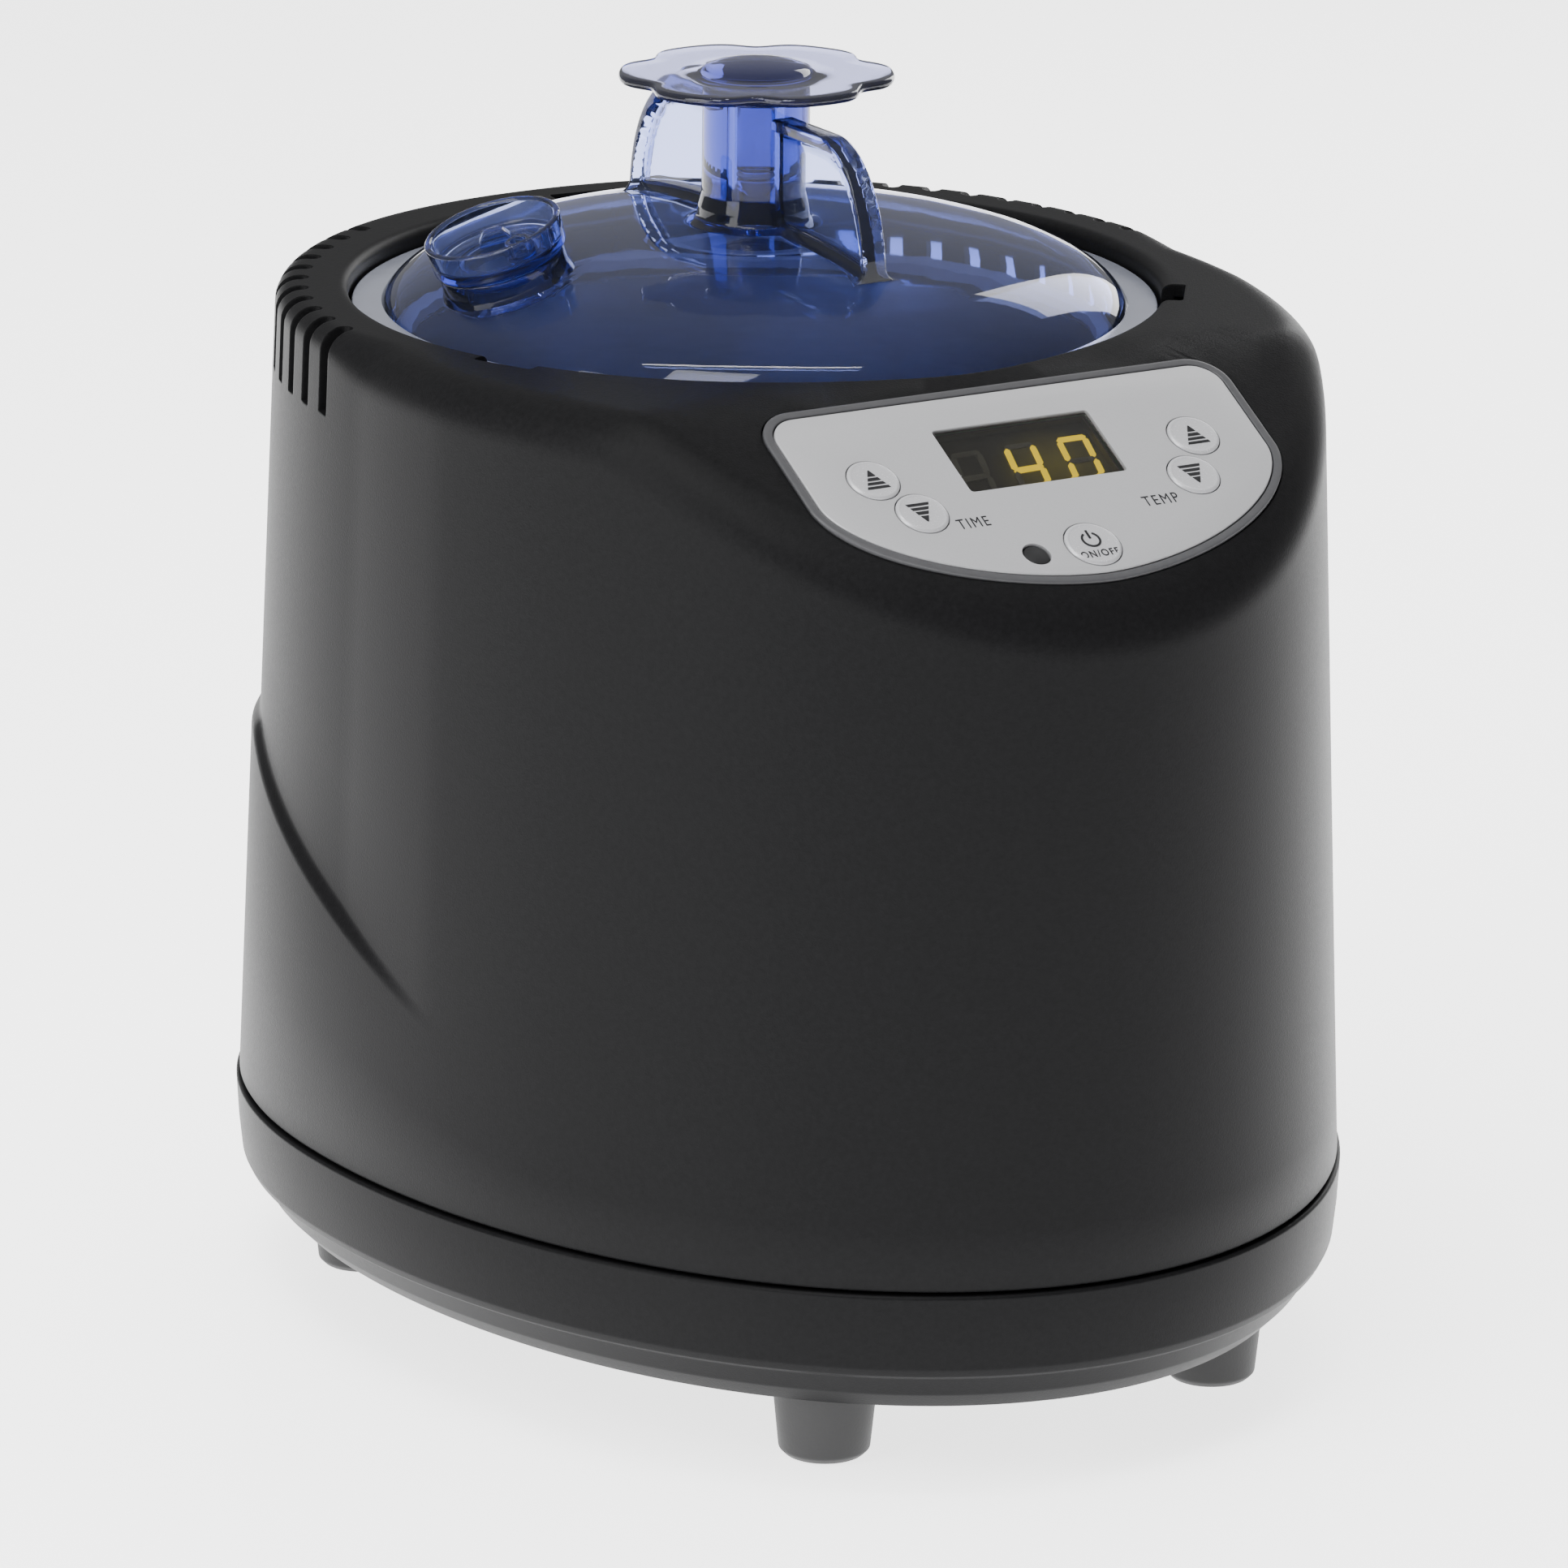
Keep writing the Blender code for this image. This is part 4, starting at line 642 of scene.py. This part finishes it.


# ---------------------------------------------------------------- pot
def build_pot():
    profile = [(0, 0.0617), (0.0660, 0.0617), (0.0700, 0.0632), (0.0715, 0.0680), (0.0760, 0.2020),
               (0.0774, 0.2063), (0.0850, 0.2063), (0.0855, 0.2069), (0.0850, 0.2076), (0.0765, 0.2076),
               (0.0750, 0.2062), (0.0747, 0.2000), (0.0703, 0.0685), (0.0690, 0.0645), (0.0655, 0.0629),
               (0, 0.0629)]
    soft = rounded(profile, (0, .003, .002, .002, .004, .001, .0003, .0002, .0003, .001, .001, .003, .002, .002,
                             .003, 0), False)
    pot = from_bmesh("steel_pot", lathe(soft, 144), "pot", matrix=AXIS)
    # The pot's top rim takes the flange finish: real steel rim with painted sheen
    pot.data.materials.append(M["flange"])
    for face in pot.data.polygons:
        if face.center.z > FLANGE_LOW:
            face.material_index = 1
    settle(pot, "pot", "inner_pot")


# ---------------------------------------------------------------- lid
def dome_z(radius, shrink=0.0):
    share = min(radius / (DOME_R - shrink), 1.0)
    rise = DOME_RISE - shrink * 0.95
    return DOME_RIM_Z - shrink * 0.1 + rise * max(1 - share ** DOME_POWER, 0.0) ** (1 / DOME_ROOT)


def wing(side):
    """One handle wing: a thin web that flares into the dome and into a broad rolled rim."""
    across, up = 44, 26
    bm = bmesh.new()
    faces = {}
    for sign in (1, -1):
        for i in range(across + 1):
            t = i / across
            reach = 0.0100 + (WING_REACH - 0.0100) * (1 - (1 - t) ** 1.6)
            inner = max(reach - 0.030, 0.0) / (WING_REACH - 0.030)
            top = 0.2310 + (WING_TOP - 0.2310) * math.sqrt(max(1 - inner * inner, 0.0))
            base = dome_z(reach) - 0.0012
            top = max(top, base + 0.0008)
            for j in range(up + 1):
                s = 0.5 - 0.5 * math.cos(math.pi * j / up)
                z = base + (top - base) * s
                slope = inner / max(math.sqrt(max(1 - inner * inner, 0.0)), 0.05) * (WING_TOP - 0.2310) / (WING_REACH - 0.030)
                from_rim = (top - z) / math.sqrt(1 + slope * slope)
                foot = max(0.0, 1 - (z - base - 0.0010) / 0.0026)
                rim = 1 - min(max((from_rim - 0.0022) / 0.0014, 0.0), 1.0)
                rim = rim * rim * (3 - 2 * rim)
                edge = math.sqrt(max(1 - max(0.0, 1 - from_rim / 0.0007) ** 2, 0.0))
                half = 0.0010 + 0.0018 * foot ** 2.2 + 0.0018 * rim * (0.55 + 0.45 * edge)
                faces[sign, i, j] = bm.verts.new((reach, sign * half, z))
    for sign in (1, -1):
        for i in range(across):
            for j in range(up):
                bm.faces.new([faces[sign, a, b] for a, b in ((i, j), (i + 1, j), (i + 1, j + 1), (i, j + 1))])
    for i in range(across):
        for j in (0, up):
            bm.faces.new([faces[1, i, j], faces[1, i + 1, j], faces[-1, i + 1, j], faces[-1, i, j]])
    for j in range(up):
        for i in (0, across):
            bm.faces.new([faces[1, i, j], faces[1, i, j + 1], faces[-1, i, j + 1], faces[-1, i, j]])
    return moved(bm, spin_z(side))


def build_lid():
    profile = [(DOME_R - 0.0025, LID_BOTTOM), (DOME_R + 0.0003, LID_BOTTOM), (DOME_R + 0.0003, DOME_RIM_Z)]
    soft = [0.0007, 0.0009, 0.0003]
    for degrees in (84, 78, 72, 66, 60, 53, 46, 39, 32, 25, 18):
        radius = DOME_R * math.sin(math.radians(degrees))
        profile.append((radius, dome_z(radius)))
        soft.append(0.02)
    profile += [(0.0150, 0.2340), (0.0127, 0.2350), (0.0124, 0.2375), (0.0116, 0.2405), (STEM_R, STEM_TOP),
                (BORE_R, STEM_TOP), (BORE_R, dome_z(BORE_R, DOME_WALL))]
    soft += [0.003, 0.0015, 0.002, 0.004, 0.0007, 0.0005, 0.0006]
    for degrees in (20, 30, 40, 50, 58, 66, 74, 83):
        radius = (DOME_R - DOME_WALL) * math.sin(math.radians(degrees))
        profile.append((radius, dome_z(radius, DOME_WALL)))
        soft.append(0.02)
    lid = from_bmesh("lid_shell", lathe(rounded(profile, soft), 160, True), "lid", matrix=AXIS)
    for side in (90.0, -90.0):
        combine(lid, moved(wing(side), AXIS), "UNION")
    neck = rounded([(0, -0.0030), (0.0152, -0.0030), (0.0137, 0.0012), (0.0136, 0.0049), (0, 0.0049)],
                   (0, 0.0008, 0.003, 0.0005, 0), False)
    combine(lid, moved(lathe(neck, 64), PORT), "UNION")
    for degrees in NOTCH_ANGLES:
        lug = soft_box((0.0798, -0.0063, 0.2086), (0.0904, 0.0063, 0.2114), 0.0012, 0.0005)
        combine(lid, moved(lug, AXIS @ spin_z(degrees)), "UNION")
    combine(lid, moved(lathe([(0, -0.012), (0.0095, -0.012), (0.0095, 0.012), (0, 0.012)], 64), PORT), "DIFFERENCE")
    collar = rounded([(COLLAR_INNER_R, COLLAR_LOW), (COLLAR_R, COLLAR_LOW), (COLLAR_R, COLLAR_TOP),
                      (COLLAR_INNER_R, COLLAR_TOP)], (0, 0.0004, 0.0004, 0))
    combine(lid, moved(lathe(collar, 160, True), AXIS), "UNION")
    # The lid collar's outer band, beyond COLLAR_PAINTED_SHEEN_R, takes the flange finish: a painted pale sheen on the
    # lid plastic, standing in for its reflection
    lid.data.materials.append(M["flange"])
    for face in lid.data.polygons:
        reach = math.hypot(face.center.x, face.center.y - POT_Y)
        if reach > COLLAR_PAINTED_SHEEN_R and COLLAR_LOW - 0.0001 < face.center.z < COLLAR_TOP + 0.0001:
            face.material_index = 1
    settle(lid, "lid", "lid_dome")


def knob_ring(flat_radius, z, share, count=216):
    """A ring that is round at share 0 and has six broad lobes at share 1."""
    ring = []
    for k in range(count):
        a = 2 * math.pi * k / count
        notch = 0.0034 * (0.5 + 0.5 * math.cos(6 * a)) ** 3
        radius = flat_radius - notch * share
        ring.append((radius * math.cos(a), radius * math.sin(a), z))
    return ring


def build_knob():
    under, top = KNOB_UNDER, KNOB_UNDER + KNOB_THICK
    rings = [knob_ring(0.0007, STEM_TOP + GAP, 0), knob_ring(STEM_R - 0.0006, STEM_TOP + GAP, 0),
             knob_ring(STEM_R, STEM_TOP + GAP + 0.0005, 0), knob_ring(STEM_R, under - 0.0008, 0),
             knob_ring(STEM_R + 0.0003, under - 0.0002, 0), knob_ring(STEM_R + 0.0010, under, 0)]
    for share in (0.35, 0.7):
        rings.append(knob_ring(STEM_R + (KNOB_R - STEM_R) * share, under, share))
    for k in range(9):
        a = -math.pi / 2 + math.pi * k / 8
        rings.append(knob_ring(KNOB_R - 0.0009 + 0.0009 * math.cos(a), (under + top) / 2 + 0.0010 * math.sin(a), 1))
    for share in (0.85, 0.6, 0.3):
        rings.append(knob_ring(STEM_R + (KNOB_R - STEM_R) * share, top, share))
    rings.append(knob_ring(STEM_R + 0.0012, top, 0))
    rings.append(knob_ring(STEM_R + 0.0004, top + 0.0002, 0))
    for k in range(1, 9):
        a = math.pi / 2 * k / 8
        rings.append(knob_ring(max(STEM_R * math.cos(a), 0.0005), top + 0.0002 + (BUTTON_DOME - 0.0002) * math.sin(a), 0))
    settle(from_bmesh("knob_plate", skin(rings, False), "knob", 30, AXIS), "knob", "star_knob")
    spindle = rounded([(0, 0.2400), (0.0028, 0.2400), (0.0041, 0.2420), (0.0041, 0.2436), (0.0029, 0.2438),
                       (0.0029, 0.2454), (0.0041, 0.2456), (0.0041, STEM_TOP), (0, STEM_TOP)],
                      (0, .0004, .0004, .0003, .0002, .0002, .0003, .0003, 0), False)
    settle(from_bmesh("valve_stem", lathe(spindle, 48), "knob", matrix=AXIS), "knob", "valve_spindle")


def build_cap():
    profile = [(0, 0.0012), (0.0085, 0.0012), (0.0091, 0.0018), (0.0091, 0.0024), (0.0078, 0.0025),
               (0.0078, 0.0040), (0.0091, 0.0041), (0.0091, 0.0052), (0.0139, 0.0052), (0.0144, 0.0058),
               (0.0148, 0.0119), (0.0144, 0.0123), (0.0137, 0.0123), (0.0133, 0.0118), (0.0130, 0.0068), (0, 0.0068)]
    soft = (0, .0005, .0004, .0002, .0002, .0002, .0002, .0003, .0005, .0008, .0004, .0004, .0003, .0005, .0012, 0)
    cap = from_bmesh("cap_cup", lathe(rounded(profile, soft, False), 112), "lid", matrix=PORT)
    fin = [(-0.0036, 0.0060), (0.0036, 0.0060), (0.0035, 0.0096), (0.0019, 0.0116), (-0.0019, 0.0116), (-0.0035, 0.0096)]
    fin = rounded(fin, (0, 0, 0.0012, 0.0014, 0.0014, 0.0012))
    blade = moved(prism(fin, -0.0012, 0.0012, 0.0004), PORT @ spin_z(-30) @ Matrix.Rotation(math.pi / 2, 4, "X"))
    combine(cap, blade, "UNION")
    spout = rounded([(0, 0.0060), (0.0034, 0.0060), (0.0029, 0.0072), (0.0029, 0.0108), (0.0017, 0.0108),
                     (0.0017, 0.0074), (0, 0.0074)], (0, 0, .001, .0004, .0003, .0003, 0), False)
    combine(cap, moved(lathe(spout, 40, centre=(0.0010, -0.0088)), PORT), "UNION")
    rib = soft_box((0.0112, -0.0010, 0.0060), (0.0136, 0.0010, 0.0112), 0.0006)
    combine(cap, moved(rib, PORT @ spin_z(-58)), "UNION")
    settle(cap, "cap", "fill_cap")


# ---------------------------------------------------------------- control panel
def sweep_panel(sections):
    return skin([[(x, y, z) for x, y in panel_outline(offset)] for offset, z in sections], True)


def bar_icon(at, upward):
    """A triangle drawn as four tapering bars, the outermost one a solid tip."""
    bars = []
    flip = 1 if upward else -1
    for low, high in ((-0.0027, -0.0020), (-0.0015, -0.0008), (-0.0003, 0.0005), (0.0010, 0.0027)):
        wide = [0.0026 * (0.0027 - h) / 0.0054 + 0.00012 for h in (low, high)]
        quad = [(-wide[0], low * flip), (wide[0], low * flip), (wide[1], high * flip), (-wide[1], high * flip)]
        shift = Matrix.Translation((at[0], at[1], 0))
        bars.append(moved(prism(quad if upward else quad[::-1], 0.00086, 0.00096), shift))
    return bars


def label(name, text, x, y, size, z, body, squeeze=1.0, weight=0.0):
    curve = bpy.data.curves.new(name, "FONT")
    curve.body = text
    curve.size = size
    curve.align_x = "CENTER"
    curve.align_y = "CENTER"
    curve.extrude = 0.00002
    curve.offset = weight
    curve.space_character = 1.22
    curve.materials.append(M["print"])
    obj = bpy.data.objects.new(name, curve)
    bpy.context.scene.collection.objects.link(obj)
    obj.matrix_world = PANEL @ Matrix.Translation((x, y, z)) @ Matrix.Diagonal((squeeze, 1, 1, 1))
    bpy.context.view_layer.update()
    mesh = bpy.data.meshes.new_from_object(obj.evaluated_get(bpy.context.evaluated_depsgraph_get()))
    mesh.transform(obj.matrix_world)
    bpy.data.objects.remove(obj, do_unlink=True)
    solid = bpy.data.objects.new(name, mesh)
    bpy.context.scene.collection.objects.link(solid)
    settle(solid, body)


def segment(points):
    return prism(points, 0.0, 0.0003)


def digit(lit, x):
    """Seven slanted segments round a figure of eight. lit holds the letters of the segments that glow."""
    wide, tall, thick = DIGIT_WIDE / 2, DIGIT_TALL / 2, 0.0013
    gap = 0.00022
    half = thick / 2

    def level(y):
        a, b = -wide + half + gap, wide - half - gap
        return [(a - half, y), (a, y - half), (b, y - half), (b + half, y), (b, y + half), (a, y + half)]

    def upright(side, low, high):
        a, b = low + half + gap, high - half - gap
        return [(side, a - half), (side + half, a), (side + half, b), (side, b + half), (side - half, b),
                (side - half, a)]

    shapes = {"a": level(tall - half), "g": level(0.0), "d": level(-tall + half),
              "b": upright(wide - half, 0.0, tall - half), "f": upright(-wide + half, 0.0, tall - half),
              "c": upright(wide - half, -tall + half, 0.0), "e": upright(-wide + half, -tall + half, 0.0)}
    slant = Matrix(((1, 0.12, 0, 0), (0, 1, 0, 0), (0, 0, 1, 0), (0, 0, 0, 1)))
    place = PANEL @ Matrix.Translation((x, DIGIT_TOP - DIGIT_TALL / 2, DIGIT_DEEP)) @ slant
    on, off = [], []
    for key, points in shapes.items():
        (on if key in lit else off).append(moved(segment(points), place))
    return on, off


def build_panel():
    inner = FACE_OUT + GAP
    sections = rounded([(BEZEL_OUT, -0.0012), (BEZEL_OUT, 0.0003), (BEZEL_OUT - 0.0006, 0.0004), (inner, 0.0004),
                        (inner, -0.0010),
                        (-0.0005, -0.0010), (-0.0005, -0.0095), (0.0013, -0.0095), (0.0013, -0.0012)],
                       (0, 0.0005, 0.001, 0.0003, 0, 0, 0, 0, 0))
    settle(from_bmesh("bezel_frame", sweep_panel(sections), "bezel", 40, PANEL), "root", "panel_bezel")

    face = from_bmesh("panel_plate", prism(panel_outline(FACE_OUT), -0.0007, 0.0005, 0.0003), "panel", 30, PANEL)
    holes = [prism(rounded_rectangle(-WINDOW_HALF, WINDOW_BOTTOM, WINDOW_HALF, WINDOW_TOP, 0.0009), -0.004, 0.004)]
    for name, at in BUTTONS.items():
        radius = BUTTON_R + (0.0005 if name == "power" else 0.0)
        holes.append(lathe([(0, -0.004), (radius + 0.00025, -0.004), (radius + 0.00025, 0.004), (0, 0.004)], 64,
                           centre=at))
    holes.append(lathe([(0, -0.004), (IR_R + GAP, -0.004), (IR_R + GAP, 0.004), (0, 0.004)], 48, centre=IR_AT))
    combine(face, moved(gather(holes), PANEL), "DIFFERENCE", 30)
    settle(face, "root", "panel_face")

    lens = prism(rounded_rectangle(-WINDOW_HALF + GAP, WINDOW_BOTTOM + GAP, WINDOW_HALF - GAP, WINDOW_TOP - GAP,
                                   0.0007), -0.0009, 0.0001, 0.00015)
    settle(from_bmesh("window_lens", lens, "smoked", matrix=PANEL), "root", "display_window")
    body = from_bmesh("display_body", soft_box((-0.0182, -0.0194, -0.0073), (0.0182, -0.0014, -0.0016), 0.0006, 0),
                      "module", matrix=PANEL)
    well = soft_box((-0.0178, -0.0190, DIGIT_DEEP), (0.0178, -0.0018, 0.001), 0.0004, 0)
    combine(body, moved(well, PANEL), "DIFFERENCE")
    settle(body, "root", "display_module")
    on, off = [], []
    for lit, x in (("", -DIGIT_PITCH), ("fgbc", 0.0), ("abcdef", DIGIT_PITCH)):
        some_on, some_off = digit(lit, x)
        on += some_on
        off += some_off
    settle(from_bmesh("segments_lit", gather(on), "segment_on"), "root")
    settle(from_bmesh("segments_dark", gather(off), "segment_off"), "root")

    eye = rounded([(0, -0.0009), (IR_R, -0.0009), (IR_R, 0.0001), (0, 0.0004)], (0, 0.0002, 0.0004, 0), False)
    settle(from_bmesh("ir_lens", lathe(eye, 48, centre=IR_AT), "black", matrix=PANEL), "root", "ir_window")

    for name, at in BUTTONS.items():
        radius = BUTTON_R + (0.0005 if name == "power" else 0.0)
        profile = [(0, -0.0036), (0.0016, -0.0036), (0.0016, -0.0017), (radius + 0.00055, -0.0017),
                   (radius + 0.00055, -0.0010), (radius, -0.0010), (radius, 0.0007), (radius - 0.0006, 0.0010),
                   (radius - 0.0010, 0.0009), (0, 0.00082)]
        soft = (0, 0, 0, 0, 0, 0, 0.0003, 0.0004, 0.0002, 0)
        key = from_bmesh("key_" + name, lathe(rounded(profile, soft, False), 72, centre=at), "button", 40, PANEL)
        settle(key, "button_" + name, "button_" + name)
    for name in ("time_up", "time_down", "temp_up", "temp_down"):
        icon = from_bmesh("icon_" + name, gather(bar_icon(BUTTONS[name], name.endswith("up"))), "print", 30, PANEL)
        settle(icon, "button_" + name)
    ring = []
    centre = (BUTTONS["power"][0], BUTTONS["power"][1] + 0.0011)
    for k in range(29):
        a = math.radians(120 + 300 * k / 28)
        ring.append([(centre[0] + r * math.cos(a), centre[1] + r * math.sin(a), z)
                     for r, z in ((0.0017, 0.00086), (0.0022, 0.00086), (0.0022, 0.00096), (0.0017, 0.00096))])
    stroke = box((centre[0] - 0.00026, centre[1] + 0.0003, 0.00086), (centre[0] + 0.00026, centre[1] + 0.0027, 0.00096))
    sign = from_bmesh("icon_power", gather([skin(ring, False), stroke]), "print", 30, PANEL)
    settle(sign, "button_power")
    label("label_power", "ON/OFF", BUTTONS["power"][0], BUTTONS["power"][1] - 0.0031, 0.0027, 0.00090,
          "button_power", 0.80, 0.00005)
    label("label_time", "TIME", -0.0228, -0.0283, 0.0041, 0.00053, "root", 0.74)
    label("label_temp", "TEMP", 0.0216, -0.0293, 0.0041, 0.00053, "root", 0.76)


# ---------------------------------------------------------------- mains inlet
def build_inlet():
    upright = Matrix.Translation((0, 0, INLET_Z)) @ Matrix.Rotation(-math.pi / 2, 4, "X")
    flange = prism(rounded_rectangle(-0.0150, -0.0120, 0.0150, 0.0120, 0.0015), 0.1318, 0.1338, 0.0004)
    inlet = from_bmesh("inlet_housing", flange, "black", matrix=upright)
    body = prism(rounded_rectangle(-0.0135, -0.0098, 0.0135, 0.0098, 0.0015), 0.1120, 0.1325)
    combine(inlet, moved(body, upright), "UNION")
    mouth = [(-0.0120, 0.0040), (-0.0080, 0.0080), (0.0080, 0.0080), (0.0120, 0.0040), (0.0120, -0.0080),
             (-0.0120, -0.0080)]
    cavity = prism([(x, -z) for x, z in mouth], 0.1155, 0.1400)
    combine(inlet, moved(cavity, upright), "DIFFERENCE")
    settle(inlet, "root", "mains_inlet")
    pins = []
    for x, z in ((-0.0070, -0.0020), (0.0070, -0.0020), (0.0, 0.0020)):
        pins.append(box((x - 0.0010, 0.1156, INLET_Z + z - 0.0020), (x + 0.0010, 0.1290, INLET_Z + z + 0.0020)))
    settle(from_bmesh("inlet_pins", gather(pins), "brass"), "root")


build_casing()
build_tray()
build_feet()
build_pot()
build_lid()
build_knob()
build_cap()
build_panel()
build_inlet()


# ---------------------------------------------------------------- floor, light, camera
WORLD_LIGHT, FLOOR_GLOW = 0.36, 2.6
LAMPS = (("key_left", (-1.30, -0.25, 0.80), (0, 0, 0.13), (0.7, 1.2), 16.0, True),
         ("side_right", (1.10, 0.75, 0.60), (0, 0, 0.13), (0.4, 0.9), 6.0, True),
         ("overhead", (0.0, 0.35, 1.8), (0, 0.1, 0.0), (2.0, 2.0), 60.0, False),
         ("top_strip", (-0.12, -0.18, 1.50), (0, 0.0, 0.22), (1.0, 0.05), 4.0, True),
         ("key_high", (-0.70, -0.55, 1.45), (0, 0, 0.20), (0.5, 0.8), 11.0, True))

def build_stage():
    floor = finish("floor_gloss", (0.90, 0.90, 0.905), 0.07, grain=(3.0, 0.0, 0.001), mottle=0.008, mottle_scale=2,
                   rough_spread=0.02)
    shader = floor.node_tree.nodes["Principled BSDF"]
    shader.inputs["Emission Color"].default_value = (1, 1, 1, 1)
    shader.inputs["Emission Strength"].default_value = FLOOR_GLOW
    bm = bmesh.new()
    bmesh.ops.create_grid(bm, x_segments=8, y_segments=8, size=6.0, matrix=Matrix.Translation((0, 0, -0.0004)))
    mesh = bpy.data.meshes.new("floor")
    bm.to_mesh(mesh)
    bm.free()
    mesh.materials.append(floor)
    obj = bpy.data.objects.new("floor", mesh)
    bpy.context.scene.collection.objects.link(obj)

    world = bpy.data.worlds.new("studio")
    world.use_nodes = True
    world.node_tree.nodes["Background"].inputs["Color"].default_value = (1.0, 1.0, 1.0, 1)
    world.node_tree.nodes["Background"].inputs["Strength"].default_value = WORLD_LIGHT
    bpy.context.scene.world = world
    for name, at, target, size, power, mirrored in LAMPS:
        lamp = bpy.data.lights.new(name, "AREA")
        lamp.shape = "RECTANGLE"
        lamp.size, lamp.size_y = size
        lamp.energy = power
        light = bpy.data.objects.new(name, lamp)
        light.location = at
        light.rotation_euler = (Vector(target) - Vector(at)).to_track_quat("-Z", "Y").to_euler()
        light.visible_glossy = mirrored
        light.visible_transmission = mirrored
        bpy.context.scene.collection.objects.link(light)


def build_camera():
    """Three-quarter view from the front left, a little above."""
    azimuth, elevation, roll = math.radians(-30.57), math.radians(16.48), 0.009047
    target = Vector((0.000775, 0.010670, 0.111640))
    back = Vector((math.sin(azimuth) * math.cos(elevation), -math.cos(azimuth) * math.cos(elevation),
                   math.sin(elevation)))
    right = Vector((math.cos(azimuth), math.sin(azimuth), 0))
    up = back.cross(right)
    tilted_right = right * math.cos(roll) + up * math.sin(roll)
    tilted_up = up * math.cos(roll) - right * math.sin(roll)
    lens = bpy.data.cameras.new("photo_view")
    lens.lens, lens.sensor_width, lens.sensor_fit = 219.27, 36.0, "HORIZONTAL"
    lens.clip_start, lens.clip_end = 0.05, 30.0
    eye = bpy.data.objects.new("photo_view", lens)
    place = Matrix((tilted_right, tilted_up, back)).transposed().to_4x4()
    place.translation = target + back * 2.0636
    eye.matrix_world = place
    bpy.context.scene.collection.objects.link(eye)
    bpy.context.scene.camera = eye


build_stage()
build_camera()
